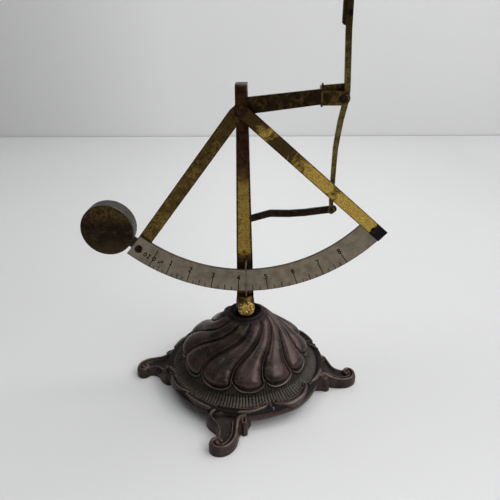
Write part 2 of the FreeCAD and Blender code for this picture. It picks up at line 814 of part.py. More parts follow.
def pan_rod():
    body = new_body("pan_rod")
    end_x, end_z = "stay_pivot_x", "stay_pivot_z"
    top = "rod_top - pivot_height - beam_pivot_z"
    line = [("bracket_rivet_x", top, ROD_LINE[0][2])] + ROD_LINE + [(end_x, end_z, ROD_LINE[-1][2])]
    left = [("%s - %s" % (x, half), z) for x, z, half in line]
    right = [("%s + %s" % (x, half), z) for x, z, half in reversed(line)]
    pad(body, outline(front_sketch(body, "rod_back"), left + right), "rod_thick")
    for x, z, radius in (("0", "0", "rod_eye_radius"), (end_x, end_z, "rod_end_radius")):
        pad(body, ring(front_sketch(body, "rod_back"), x, z, radius), "rod_thick")
    holes(body, "rod_back", "4", [
        ("0", "0", "yoke_pin_radius + run_gap"),
        (end_x, end_z, "rod_pin_radius + fit_gap"),
        ("bracket_rivet_x", top + " - bracket_rivet_low", "rivet_radius + fit_gap"),
        ("bracket_rivet_x", top + " - bracket_rivet_high", "rivet_radius + fit_gap"),
    ])
    place(body, x="beam_pivot_x", z="pivot_height + beam_pivot_z")


TRAY_MIDDLE = "bracket_back - 2"


def tray_bracket():
    body = new_body("tray_bracket")
    plate = outline(front_sketch(body, "bracket_back"), [
        ("bracket_left + 1.6", "bracket_low", "1.6", 1),
        ("bracket_right", "bracket_low"),
        ("bracket_right", "tray_height"),
        ("bracket_left", "tray_height"),
        ("bracket_left", "bracket_low + 1.6"),
    ])
    pad(body, plate, "bracket_back - rod_back")
    flange = outline(sketch_on(body, "XY_Plane", "tray_height - sheet_thick"), [
        ("-flange_half_x", TRAY_MIDDLE + " - flange_half_y"),
        ("flange_half_x", TRAY_MIDDLE + " - flange_half_y"),
        ("flange_half_x", TRAY_MIDDLE + " + flange_half_y"),
        ("-flange_half_x", TRAY_MIDDLE + " + flange_half_y"),
    ])
    pad(body, flange, "sheet_thick")
    for x, y in tray_rivet_spots():
        hole = ring(sketch_on(body, "XY_Plane", "tray_height - sheet_thick"), x, y, "rivet_radius + fit_gap")
        pocket(body, hole, "3", reverse=True)
    holes(body, "bracket_back", "4", [
        ("bracket_rivet_x", "rod_top - bracket_rivet_low", "rivet_radius + fit_gap"),
        ("bracket_rivet_x", "rod_top - bracket_rivet_high", "rivet_radius + fit_gap"),
    ])
    place(body, x="beam_pivot_x")


def tray_rivet_spots():
    return [
        ("%d * tray_rivet_x" % sx, "%s + %d * tray_rivet_y" % (TRAY_MIDDLE, sy))
        for sx in (-1, 1) for sy in (-1, 1)
    ]


def tray_outline(sketch, inset):
    """The tray's plan, a rectangle with round corners, drawn in by an inset."""
    wide, deep, bend = ("(%s - %s)" % (size, inset) for size in ("tray_half_x", "tray_half_y", "tray_corner"))
    corners = []
    for sx, sy in ((1, -1), (1, 1), (-1, 1), (-1, -1)):
        on_side = ("%d * (%s - %s)" % (sx, wide, bend), "%s + %d * %s" % (TRAY_MIDDLE, sy, deep))
        on_end = ("%d * %s" % (sx, wide), "%s + %d * (%s - %s)" % (TRAY_MIDDLE, sy, deep, bend))
        first, second = (on_side, on_end) if sx * sy < 0 else (on_end, on_side)
        corners.append(first)
        corners.append(second + (bend, 1))
    return outline(sketch, corners)


def letter_tray():
    body = new_body("letter_tray")
    plan = tray_outline(sketch_on(body, "XY_Plane", "tray_height"), "0")
    pad(body, plan, "tray_thick + tray_rim_rise")
    recess = tray_outline(sketch_on(body, "XY_Plane", "tray_height + tray_thick"), "tray_rim_thick")
    pocket(body, recess, "4", reverse=True)
    for x, y in tray_rivet_spots():
        hole = ring(sketch_on(body, "XY_Plane", "tray_height"), x, y, "rivet_radius + fit_gap")
        pocket(body, hole, "3", reverse=True)
    place(body, x="beam_pivot_x")


def tray_fasteners():
    """The tray's rivets: a head under the flange, and flush with the tray's floor above."""
    pieces = []
    low = "tray_height - sheet_thick"
    for x, y in tray_rivet_spots():
        shank = doc.addObject("Part::Cylinder", "tray_rivet_shank")
        bind(shank, "Radius", "rivet_radius")
        bind(shank, "Height", "sheet_thick + tray_thick")
        place(shank, x="beam_pivot_x + " + x, y=y, z=low)
        head = doc.addObject("Part::Cylinder", "tray_rivet_head")
        bind(head, "Radius", "rivet_radius + 0.6")
        bind(head, "Height", "rivet_head_thick")
        place(head, x="beam_pivot_x + " + x, y=y, z=low + " - rivet_head_thick")
        pieces += [shank, head]
    group = doc.addObject("Part::MultiFuse", "tray_rivets")
    group.Shapes = pieces
    keep("tray_rivets", group)


def bracket_fasteners():
    front = "rod_back - rod_thick"
    for label in ("bracket_rivet_low", "bracket_rivet_high"):
        rivet = turned_pin(label, [
            ("rivet_radius + 0.5", front),
            ("rivet_radius", "bracket_back"),
            ("rivet_radius + 0.5", "bracket_back + 0.5"),
        ], front + " - 0.45")
        place(rivet, x="beam_pivot_x + bracket_rivet_x", z="rod_top - " + label)


STAY_WAVE = [(0.14, -1.3), (0.34, 0.5), (0.55, -0.5), (0.72, -0.7), (0.88, -0.4)]


def stay_link():
    body = new_body("stay_link")
    half = "stay_half"
    lean = "(beam_pivot_z / beam_pivot_x)"
    stations = [("0", "-1.2", "stay_left_half")]
    for share, rise in STAY_WAVE:
        stations.append(("beam_pivot_x * %s" % share, "%s * stay_wave" % rise, half))
    low = [(x, "(%s) * %s + (%s) - %s" % (x, lean, rise, size)) for x, rise, size in stations]
    high = [(x, "(%s) * %s + (%s) + %s" % (x, lean, rise, size)) for x, rise, size in reversed(stations)]
    tail_x = "(beam_pivot_x + stay_tail - %s)" % half
    tail_low = (tail_x, "beam_pivot_z - %s" % half)
    tail_high = (tail_x, "beam_pivot_z + %s" % half, half, 1)
    strip = outline(front_sketch(body, "stay_back"), low + [tail_low, tail_high] + high)
    pad(body, strip, "sheet_thick")
    pad(body, ring(front_sketch(body, "stay_back"), "0", "0", "stay_eye_radius"), "sheet_thick")
    holes(body, "stay_back", "4", [
        ("0", "0", "stay_screw_radius + run_gap"),
        ("beam_pivot_x", "beam_pivot_z", "rod_pin_radius + 0.1"),
    ])
    place(body, x="stay_pivot_x", z="pivot_height + stay_pivot_z")


def stay_fasteners():
    screw = turned_pin("stay_screw", [
        ("stay_screw_radius", "stay_back + 0.12"),
        ("stay_screw_head", "stay_back + 1.1"),
    ], "column_back - 2.3")
    place(screw, x="stay_pivot_x", z="pivot_height + stay_pivot_z")
    pin = turned_pin("rod_pin", [
        ("1.25", "rod_back - rod_thick"),
        ("rod_pin_radius", "stay_back + 0.2"),
        ("1.25", "stay_back + 0.6"),
    ], "rod_back - rod_thick - 0.4")
    place(pin, x="beam_pivot_x + stay_pivot_x", z="pivot_height + beam_pivot_z + stay_pivot_z")


# ---------------------------------------------------------------- build, check and write
def build_all():
    base_casting()
    base_fastening()
    column()
    foot_boss()
    index_wire()
    spokes()
    arc_plate()
    arc_fasteners()
    hub_pieces()
    counterweight()
    counterweight_arm()
    beam_arm()
    yoke()
    yoke_fasteners()
    pan_rod()
    tray_bracket()
    letter_tray()
    tray_fasteners()
    bracket_fasteners()
    stay_link()
    stay_fasteners()


def check_and_write():
    doc.recompute()
    for item in doc.Objects:
        if "Invalid" in item.State or "Error" in item.State:
            raise RuntimeError("%s failed: %s" % (item.Name, item.State))
    for label, item in nodes.items():
        if item.Shape.isNull() or not item.Shape.isValid() or item.Shape.Volume <= 0:
            raise RuntimeError("%s has no valid solid" % label)
    for label, item in nodes.items():
        item.Shape.exportStep("parts/%s.step" % label)
        box = item.Shape.BoundBox
        print("%-20s solids %d volume %9.1f  x %7.2f %7.2f  y %7.2f %7.2f  z %7.2f %7.2f" % (
            label, len(item.Shape.Solids), item.Shape.Volume,
            box.XMin, box.XMax, box.YMin, box.YMax, box.ZMin, box.ZMax))


build_all()
check_and_write()
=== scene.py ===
import json
import math

import bpy
import numpy as np
from mathutils import Matrix, Vector


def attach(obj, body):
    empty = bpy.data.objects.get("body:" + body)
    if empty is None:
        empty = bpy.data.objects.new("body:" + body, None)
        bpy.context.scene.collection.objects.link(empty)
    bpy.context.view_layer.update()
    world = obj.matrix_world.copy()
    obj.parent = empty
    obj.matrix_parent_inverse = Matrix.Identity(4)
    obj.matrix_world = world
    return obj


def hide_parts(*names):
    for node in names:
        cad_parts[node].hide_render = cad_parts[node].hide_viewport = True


# Looks of a brass quadrant letter scale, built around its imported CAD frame.
# Lengths are millimetres in the row frame, and MM turns them into Blender's metres; only the lights
# and the stage are given in metres.  -Y is the front.  Azimuths are degrees about +Z from +X, so 270
# is the front.

MM = 0.001
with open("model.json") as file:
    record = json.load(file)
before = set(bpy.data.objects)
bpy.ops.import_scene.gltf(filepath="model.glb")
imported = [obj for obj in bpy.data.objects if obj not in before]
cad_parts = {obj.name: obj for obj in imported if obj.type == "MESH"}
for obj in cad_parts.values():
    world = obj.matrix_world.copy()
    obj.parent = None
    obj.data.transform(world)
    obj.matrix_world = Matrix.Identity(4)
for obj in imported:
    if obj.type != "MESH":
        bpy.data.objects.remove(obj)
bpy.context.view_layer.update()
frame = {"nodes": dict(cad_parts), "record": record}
nodes = frame["nodes"]
rng = np.random.default_rng(7)


# ---------------------------------------------------------------- camera, light, floor
CAMERA_SPOT = (12.04, -233.73, 187.62)
CAMERA_DOWN = 24.907
CAMERA_SIDE = 2.094
CAMERA_ROLL = 0.659
LENS = 36.0


def add_camera():
    down, side, roll = (math.radians(a) for a in (CAMERA_DOWN, CAMERA_SIDE, CAMERA_ROLL))
    right = Vector((math.cos(side), math.sin(side), 0))
    up = Vector((-math.sin(down) * math.sin(side), math.sin(down) * math.cos(side), math.cos(down)))
    back = right.cross(up)
    across = math.cos(roll) * right - math.sin(roll) * up
    upward = math.sin(roll) * right + math.cos(roll) * up
    data = bpy.data.cameras.new("camera")
    data.lens, data.sensor_width, data.sensor_fit = LENS, LENS, "HORIZONTAL"
    data.clip_start, data.clip_end = 0.01, 20.0
    camera = bpy.data.objects.new("camera", data)
    turn = Matrix((across, upward, back)).transposed().to_4x4()
    camera.matrix_world = Matrix.Translation(Vector(CAMERA_SPOT) * MM) @ turn
    bpy.context.scene.collection.objects.link(camera)
    bpy.context.scene.camera = camera


def area_light(name, spot, target, size, power):
    data = bpy.data.lights.new(name, "AREA")
    data.shape = "RECTANGLE"
    data.size, data.size_y = size
    data.energy = power
    light = bpy.data.objects.new(name, data)
    light.location = Vector(spot)
    light.rotation_euler = (Vector(target) - Vector(spot)).to_track_quat("-Z", "Y").to_euler()
    bpy.context.scene.collection.objects.link(light)


WORLD_BRIGHT_WAY = (0.42, 0.34, 0.84)
WORLD_TONES = [(0.0, 0.16), (1.0, 1.0), (0.30, 0.42), (0.62, 0.90)]
WORLD_TINT = (0.97, 0.985, 1.0)
WORLD_STRENGTH = 0.72


def add_world():
    """A room that is darker in front and below, and bright above and behind."""
    world = bpy.data.worlds.new("studio")
    world.use_nodes = True
    background = world.node_tree.nodes["Background"]
    tree = world.node_tree
    coordinates = tree.nodes.new("ShaderNodeTexCoord")
    tilt = tree.nodes.new("ShaderNodeVectorMath")
    tilt.operation = "DOT_PRODUCT"
    tilt.inputs[1].default_value = WORLD_BRIGHT_WAY
    ramp = tree.nodes.new("ShaderNodeValToRGB")
    for number, (place, tone) in enumerate(WORLD_TONES):
        element = ramp.color_ramp.elements[number] if number < 2 else ramp.color_ramp.elements.new(place)
        element.position = place
        element.color = tuple(tone * tint for tint in WORLD_TINT) + (1,)
    tree.links.new(coordinates.outputs["Generated"], tilt.inputs[0])
    tree.links.new(tilt.outputs["Value"], ramp.inputs["Fac"])
    tree.links.new(ramp.outputs["Color"], background.inputs["Color"])
    background.inputs["Strength"].default_value = WORLD_STRENGTH
    bpy.context.scene.world = world


def quad_mesh(name, corners):
    mesh = bpy.data.meshes.new(name)
    mesh.from_pydata([Vector(c) for c in corners], [], [tuple(range(len(corners)))])
    return mesh


# painted light and shade: tone of the floor and the wall by x in millimetres, brightest near the middle and
# darker towards both ends
FLOOR_PAINTED_LIGHT_TONES = [(-420, 0.54), (-200, 0.575), (0, 0.63), (300, 0.50)]
WALL_PAINTED_LIGHT_TONES = [(-520, 0.60), (-330, 0.67), (-150, 0.78), (250, 0.71), (520, 0.68)]


def shaded(name, line, tones):
    """A pale matt material whose tone changes a little from left to right; that change is painted light and
    shade.
    """
    paint = Paint(name)
    tone = stops(paint, along_line(paint, *line), tones)
    soft = paint.math("MULTIPLY", tone, paint.step(paint.noise(0.004, 3, 0.5), 0.3, 0.7, 0.985, 1.0))
    return paint.finish(soft, paint.step(paint.noise(0.01, 3, 0.5), 0.3, 0.7, 0.58, 0.66), 0.0)


STAGE_HALF = 3
FLOOR_END = 0.64
WALL_PLACE = 0.642
WALL_FOOT = -0.02
WALL_TOP = 2


def add_stage():
    """The floor, and a wall that stands just behind its end."""
    left, right = -STAGE_HALF, STAGE_HALF
    corners = [(left, left, 0), (right, left, 0), (right, FLOOR_END, 0), (left, FLOOR_END, 0)]
    floor = bpy.data.objects.new("floor", quad_mesh("floor", corners))
    corners = [(left, WALL_PLACE, WALL_FOOT), (right, WALL_PLACE, WALL_FOOT),
               (right, WALL_PLACE, WALL_TOP), (left, WALL_PLACE, WALL_TOP)]
    wall = bpy.data.objects.new("backdrop", quad_mesh("backdrop", corners))
    across = ((0, 0), (1, 0))
    for item, tones in ((floor, FLOOR_PAINTED_LIGHT_TONES), (wall, WALL_PAINTED_LIGHT_TONES)):
        bpy.context.scene.collection.objects.link(item)
        item.data.materials.append(shaded(item.name, across, tones))


# ---------------------------------------------------------------- materials
class Paint:
    """A procedural material: small helpers that add nodes and hand back sockets."""

    def __init__(self, name):
        self.material = bpy.data.materials.new(name)
        self.material.use_nodes = True
        self.tree = self.material.node_tree
        self.shader = self.tree.nodes["Principled BSDF"]
        coordinates = self.tree.nodes.new("ShaderNodeTexCoord")
        scale = self.tree.nodes.new("ShaderNodeVectorMath")
        scale.operation = "SCALE"
        scale.inputs["Scale"].default_value = 1 / MM
        self.tree.links.new(coordinates.outputs["Object"], scale.inputs[0])
        self.place = scale.outputs[0]

    def link(self, source, target):
        if isinstance(source, (int, float, tuple)):
            target.default_value = source
        else:
            self.tree.links.new(source, target)

    def stretched(self, factors, offset=(0, 0, 0)):
        node = self.tree.nodes.new("ShaderNodeMapping")
        node.inputs["Scale"].default_value = factors
        node.inputs["Location"].default_value = offset
        self.link(self.place, node.inputs["Vector"])
        return node.outputs[0]

    def noise(self, per_mm, detail=4.0, rough=0.55, place=None, distortion=0.0):
        node = self.tree.nodes.new("ShaderNodeTexNoise")
        self.link(place or self.place, node.inputs["Vector"])
        node.inputs["Scale"].default_value = per_mm
        node.inputs["Detail"].default_value = detail
        node.inputs["Roughness"].default_value = rough
        node.inputs["Distortion"].default_value = distortion
        return node.outputs["Fac"]

    def attribute(self, name):
        node = self.tree.nodes.new("ShaderNodeAttribute")
        node.attribute_name = name
        return node.outputs["Fac"]

    def step(self, value, low, high, out_low=0.0, out_high=1.0):
        node = self.tree.nodes.new("ShaderNodeMapRange")
        node.interpolation_type = "SMOOTHSTEP"
        self.link(value, node.inputs["Value"])
        for name, number in zip(("From Min", "From Max", "To Min", "To Max"),
                                (low, high, out_low, out_high)):
            self.link(number, node.inputs[name])
        return node.outputs["Result"]

    def math(self, operation, first, second=0.0):
        node = self.tree.nodes.new("ShaderNodeMath")
        node.operation = operation
        self.link(first, node.inputs[0])
        self.link(second, node.inputs[1])
        return node.outputs[0]

    def mix(self, amount, first, second):
        node = self.tree.nodes.new("ShaderNodeMix")
        node.data_type = "RGBA"
        self.link(amount, node.inputs[0])
        self.link(first + (1,) if isinstance(first, tuple) else first, node.inputs[6])
        self.link(second + (1,) if isinstance(second, tuple) else second, node.inputs[7])
        return node.outputs[2]

    def height(self, value, depth_mm, strength=1.0):
        node = self.tree.nodes.new("ShaderNodeBump")
        node.inputs["Strength"].default_value = strength
        node.inputs["Distance"].default_value = depth_mm * MM
        self.link(value, node.inputs["Height"])
        self.link(node.outputs[0], self.shader.inputs["Normal"])

    def finish(self, color, roughness, metallic):
        self.link(color, self.shader.inputs["Base Color"])
        self.link(roughness, self.shader.inputs["Roughness"])
        self.link(metallic, self.shader.inputs["Metallic"])
        return self.material


def along_line(paint, start, end):
    """How far along a line, in millimetres, each point lies; start and end are (x, z)."""
    dx, dz = end[0] - start[0], end[1] - start[1]
    length = math.hypot(dx, dz)
    node = paint.tree.nodes.new("ShaderNodeVectorMath")
    node.operation = "DOT_PRODUCT"
    paint.link(paint.place, node.inputs[0])
    node.inputs[1].default_value = (dx / length, 0, dz / length)
    return paint.math("SUBTRACT", node.outputs["Value"], (start[0] * dx + start[1] * dz) / length)


def far_from(paint, x, z):
    """How far each point lies from the line along Y through (x, z)."""
    node = paint.tree.nodes.new("ShaderNodeVectorMath")
    node.operation = "MULTIPLY_ADD"
    paint.link(paint.place, node.inputs[0])
    node.inputs[1].default_value = (1, 0, 1)
    node.inputs[2].default_value = (-x, 0, -z)
    size = paint.tree.nodes.new("ShaderNodeVectorMath")
    size.operation = "LENGTH"
    paint.link(node.outputs[0], size.inputs[0])
    return size.outputs["Value"]


def stops(paint, value, pairs):
    """Straight lines through (position, amount) pairs, which are in order of position."""
    low, high = pairs[0][0], pairs[-1][0]
    ramp = paint.tree.nodes.new("ShaderNodeValToRGB")
    ramp.color_ramp.interpolation = "LINEAR"
    places = ramp.color_ramp.elements
    for number, (spot, amount) in enumerate(pairs):
        where = (spot - low) / (high - low)
        element = places[number] if number < 2 else places.new(where)
        element.position = where
        element.color = (amount, amount, amount, 1)
    along = paint.math("DIVIDE", paint.math("SUBTRACT", value, low), high - low)
    paint.link(along, ramp.inputs["Fac"])
    return ramp.outputs["Color"]


def tarnished(name, bright, dull, dark, shine=0.42, spots=0.5, clean=0.5, grain=0.5, seed=(0, 0, 0),
              line=None, levels=None, last=None):
    """Old brass: metal that shows through a dull film, with dark stains and specks.  More spots
    give more stains.  Along a line the film can be thicker or thinner: levels are
    (millimetres, cleanness) pairs."""
    paint = Paint(name)
    here = paint.stretched((1, 1, 1), seed)
    cloudy = paint.noise(0.22, 6, 0.66, here, 0.8)
    if levels:
        local = stops(paint, along_line(paint, *line), levels)
    else:
        local = clean
    film = paint.math("ADD", cloudy, paint.math("MULTIPLY", paint.math("SUBTRACT", local, 0.5), 0.55))
    film = paint.step(film, 0.40, 0.64)
    fine = paint.step(paint.noise(1.7, 5, 0.62, here), 0.38, 0.60)
    film = paint.math("MULTIPLY", film, paint.math("ADD", paint.math("MULTIPLY", fine, grain), 1 - grain))
    stain = paint.step(paint.noise(0.55, 6, 0.7, here, 1.2), 0.38 + 0.2 * spots, 0.30 + 0.2 * spots)
    speck = paint.step(paint.noise(2.1, 5, 0.68, here), 0.47, 0.38)
    stain = paint.math("MULTIPLY", stain, 0.8)
    speck = paint.math("MULTIPLY", speck, 0.4 + 0.6 * grain)
    stain = paint.math("MAXIMUM", stain, speck)
    color = paint.mix(stain, paint.mix(film, dull, bright), dark)
    if last:
        color = last(paint, color)
    rough = paint.step(paint.noise(1.4, 4, 0.6, here), 0.3, 0.7, shine - 0.06, shine + 0.14)
    paint.height(paint.noise(1.8, 5, 0.6, here), 0.045, 0.5)
    return paint.finish(color, rough, 1.0)


COLUMN_MIDDLE = 0.6
COLUMN_HALF = 5.34
COLUMN_TAPER = -0.0171


def column_edges(paint, color):
    """The column is reddish brown near its top and has dark strips down both sides."""
    node = paint.tree.nodes.new("ShaderNodeSeparateXYZ")
    paint.link(paint.place, node.inputs[0])
    half = paint.math("MULTIPLY_ADD", node.outputs["Z"], COLUMN_TAPER)
    half.node.inputs[2].default_value = COLUMN_HALF
    off = paint.math("ABSOLUTE", paint.math("SUBTRACT", node.outputs["X"], COLUMN_MIDDLE))
    ragged = paint.math("MULTIPLY", paint.noise(0.8, 4, 0.6), 0.9)
    left = paint.math("SUBTRACT", half, paint.math("ADD", off, ragged))
    strip = paint.math("MULTIPLY", paint.step(left, 0.55, 0.15), 0.9)
    color = paint.mix(strip, color, (0.018, 0.010, 0.006))
    cloudy = paint.step(paint.noise(0.5, 4, 0.6), 0.35, 0.65)
    red = paint.mix(cloudy, (0.020, 0.009, 0.006), (0.062, 0.028, 0.013))
    wavy = paint.math("MULTIPLY", paint.noise(0.25, 3, 0.5), 14)
    high = paint.step(paint.math("ADD", node.outputs["Z"], wavy), 118, 132)
    return paint.mix(high, color, red)


def dark_sides(paint, color, line, shift, half):
    """Darkens both long sides of a bar."""
    (x0, z0), (x1, z1) = line
    length = math.hypot(x1 - x0, z1 - z0)
    node = paint.tree.nodes.new("ShaderNodeVectorMath")
    node.operation = "DOT_PRODUCT"
    paint.link(paint.place, node.inputs[0])
    node.inputs[1].default_value = ((z1 - z0) / length, 0, (x0 - x1) / length)
    middle = (x0 * (z1 - z0) + z0 * (x0 - x1)) / length + shift
    off = paint.math("ABSOLUTE", paint.math("SUBTRACT", node.outputs["Value"], middle))
    off = paint.math("ADD", off, paint.math("MULTIPLY", paint.noise(0.7, 4, 0.6), 0.8))
    strip = paint.math("MULTIPLY", paint.step(off, half, half + 0.4), 0.8)
    return paint.mix(strip, color, (0.016, 0.010, 0.006))


def left_sides(paint, color):
    """The left spoke's long sides are dark."""
    return dark_sides(paint, color, LEFT_SPOKE, 0.55, 3.25)


def dark_tip(paint, color):
    """The right spoke's long sides are dark, and its end is blue black."""
    color = dark_sides(paint, color, RIGHT_SPOKE, -0.55, 2.95)
    wavy = paint.math("MULTIPLY", paint.noise(0.6, 3, 0.5), 2.0)
    reach = paint.math("ADD", far_from(paint, 0, PIVOT_Z), wavy)
    return paint.mix(paint.step(reach, 85.6, 86.6), color, (0.014, 0.012, 0.016))


WEIGHT_MIDDLE = (-66.65, 93.4)


def weight_face(paint, color):
    """The weight's face: golden brown at its top, a little lighter low down, with a grey rim."""
    node = paint.tree.nodes.new("ShaderNodeSeparateXYZ")
    paint.link(paint.place, node.inputs[0])
    wavy = paint.math("MULTIPLY", paint.noise(0.25, 4, 0.6), 9)
    high = paint.step(paint.math("ADD", node.outputs["Z"], wavy), 100.5, 106.5)
    cloudy = paint.step(paint.noise(0.7, 5, 0.65), 0.35, 0.65)
    gold = paint.mix(cloudy, (0.035, 0.021, 0.010), (0.120, 0.075, 0.028))
    color = paint.mix(paint.math("MULTIPLY", high, 0.8), color, gold)
    wavy = paint.math("MULTIPLY", paint.noise(0.3, 4, 0.6), 8)
    low = paint.step(paint.math("ADD", node.outputs["Z"], wavy), 94, 86)
    color = paint.mix(paint.math("MULTIPLY", low, 0.7), color, (0.060, 0.042, 0.020))
    cloudy = paint.step(paint.noise(0.8, 4, 0.6), 0.3, 0.7)
    grey = paint.mix(cloudy, (0.036, 0.033, 0.025), (0.088, 0.082, 0.066))
    return paint.mix(paint.step(far_from(paint, *WEIGHT_MIDDLE), 12.75, 13.05), color, grey)


# where the film on each bar is thick (0) or gone (1), by millimetres along the bar's line
PIVOT_Z = 149.9
LEFT_SPOKE = ((0, PIVOT_Z), (-56.2, 76.4))
RIGHT_SPOKE = ((0, PIVOT_Z), (68.8, 88.9))
COLUMN_LINE = ((0, 45), (0, 161))
RIGHT_LEVELS = [(0, 0.20), (8, 0.25), (12, 0.40), (15, 0.55), (19, 0.45), (21.5, 0.03), (27, 0.03),
                (30, 0.45), (40, 0.65), (52, 1.0), (56, 0.55), (59, 0.55), (62, 0.95), (80, 1.0), (92, 1.0)]
COLUMN_LEVELS = [(0, 0.0), (29, 0.08), (34, 0.85), (52, 1.0), (64, 0.95), (76, 0.40), (116, 0.30)]
LEFT_LEVELS = [(0, 0.35), (60, 0.52), (84, 0.58), (92, 0.95)]
ROD_LINE = ((46, 98), (46, 199))
ROD_LEVELS = [(0, 0.50), (30, 0.60), (45, 0.66), (60, 0.62), (75, 0.58), (84, 0.25), (92, 0.08), (101, 0.05)]


PATINAS = {
    "column_brass": dict(bright=(0.40, 0.262, 0.056), dull=(0.115, 0.068, 0.020), dark=(0.022, 0.013, 0.007),
                         shine=0.40, spots=0.45, line=COLUMN_LINE, levels=COLUMN_LEVELS, last=column_edges,
                         grain=0.55),
    "left_brass": dict(bright=(0.27, 0.182, 0.045), dull=(0.090, 0.057, 0.018), dark=(0.018, 0.011, 0.006),
                       spots=0.45, seed=(31, 7, 3), line=LEFT_SPOKE, levels=LEFT_LEVELS, last=left_sides,
                       grain=0.75),
    "right_brass": dict(bright=(0.66, 0.447, 0.095), dull=(0.072, 0.044, 0.016), dark=(0.014, 0.008, 0.005),
                        shine=0.38, spots=0.15, seed=(3, 77, 3), line=RIGHT_SPOKE, levels=RIGHT_LEVELS,
                        last=dark_tip, grain=0.45),
    "spoke_brass": dict(bright=(0.115, 0.078, 0.027), dull=(0.038, 0.024, 0.011), dark=(0.014, 0.009, 0.006),
                        clean=0.45, seed=(13, 7, 31)),
    "beam_brass": dict(bright=(0.105, 0.067, 0.023), dull=(0.029, 0.017, 0.008), dark=(0.013, 0.008, 0.005),
                       shine=0.44, spots=0.55, clean=0.42, seed=(11, 57, 3)),
    "yoke_brass": dict(bright=(0.20, 0.135, 0.040), dull=(0.064, 0.040, 0.014), dark=(0.018, 0.011, 0.006),
                       spots=0.45, seed=(21, 5, 3)),
    "rod_brass": dict(bright=(0.25, 0.19, 0.056), dull=(0.085, 0.060, 0.021), dark=(0.020, 0.014, 0.008),
                      spots=0.45, seed=(5, 9, 71), line=ROD_LINE, levels=ROD_LEVELS, grain=0.7),
    "stay_brass": dict(bright=(0.060, 0.048, 0.036), dull=(0.022, 0.014, 0.009), dark=(0.008, 0.006, 0.005),
                       clean=0.4, seed=(19, 2, 6)),
    "weight_bronze": dict(bright=(0.060, 0.040, 0.020), dull=(0.022, 0.013, 0.008),
                          dark=(0.010, 0.006, 0.005), shine=0.44, spots=0.45, clean=0.45, seed=(3, 3, 3),
                          last=weight_face),
    "tray_brass": dict(bright=(0.42, 0.30, 0.11), dull=(0.22, 0.15, 0.055), dark=(0.05, 0.035, 0.02),
                       shine=0.36, spots=0.2, clean=0.7, seed=(8, 8, 2)),
    "dark_steel": dict(bright=(0.062, 0.044, 0.034), dull=(0.024, 0.017, 0.014), dark=(0.009, 0.006, 0.005),
                       shine=0.36, spots=0.4, seed=(1, 5, 5)),
    "wire_steel": dict(bright=(0.22, 0.20, 0.17), dull=(0.085, 0.075, 0.062), dark=(0.02, 0.017, 0.015),
                       shine=0.36, spots=0.3, seed=(4, 5, 5)),
}


def make_materials():
    made = {name: tarnished(name, **look) for name, look in PATINAS.items()}
    made["boss_brass"] = boss_gold()
    made["arc_steel"] = arc_steel()
    made["ink"] = ink()
    made["bronzed_iron"] = bronzed_iron()
    return made


def ink():
    """Black filling of the engraved marks."""
    paint = Paint("ink")
    cloudy = paint.step(paint.noise(1.5, 3, 0.6), 0.35, 0.65)
    tone = paint.mix(cloudy, (0.008, 0.007, 0.006), (0.022, 0.018, 0.015))
    return paint.finish(tone, paint.step(paint.noise(2.0, 3, 0.6), 0.3, 0.7, 0.55, 0.7), 1.0)


def boss_gold():
    """Bright granulated brass that is dark between the grains."""
    paint = Paint("boss_brass")
    hollow = paint.attribute("hollow")
    cloudy = paint.step(paint.noise(0.9, 4, 0.6), 0.35, 0.65)
    gold = paint.mix(cloudy, (0.40, 0.25, 0.065), (0.80, 0.55, 0.16))
    color = paint.mix(hollow, gold, (0.075, 0.036, 0.014))
    return paint.finish(color, paint.step(paint.noise(2.0, 3, 0.6), 0.3, 0.7, 0.30, 0.42), 1.0)


def arc_steel():
    """A silvered plate: warm grey with fine brown mottling and darker edges."""
    paint = Paint("arc_steel")
    cloudy = paint.noise(0.22, 5, 0.6)
    grain = paint.noise(2.6, 4, 0.62)
    streak = paint.noise(1.0, 4, 0.6, paint.stretched((0.25, 1, 1.6)))
    color = paint.mix(paint.step(cloudy, 0.32, 0.68), (0.180, 0.148, 0.108), (0.262, 0.219, 0.166))
    color = paint.mix(paint.math("MULTIPLY", paint.step(streak, 0.56, 0.70), 0.3), color, (0.34, 0.29, 0.24))
    color = paint.mix(paint.step(grain, 0.43, 0.33), color, (0.095, 0.072, 0.052))
    reach = far_from(paint, 0, PIVOT_Z)
    edge = paint.math("MAXIMUM", paint.step(reach, 91.5, 91.95), paint.step(reach, 80.0, 79.65))
    color = paint.mix(paint.math("MULTIPLY", edge, 0.75), color, (0.030, 0.022, 0.016))
    rough = paint.step(grain, 0.3, 0.7, 0.36, 0.5)
    paint.height(grain, 0.03, 0.4)
    return paint.finish(color, rough, 1.0)


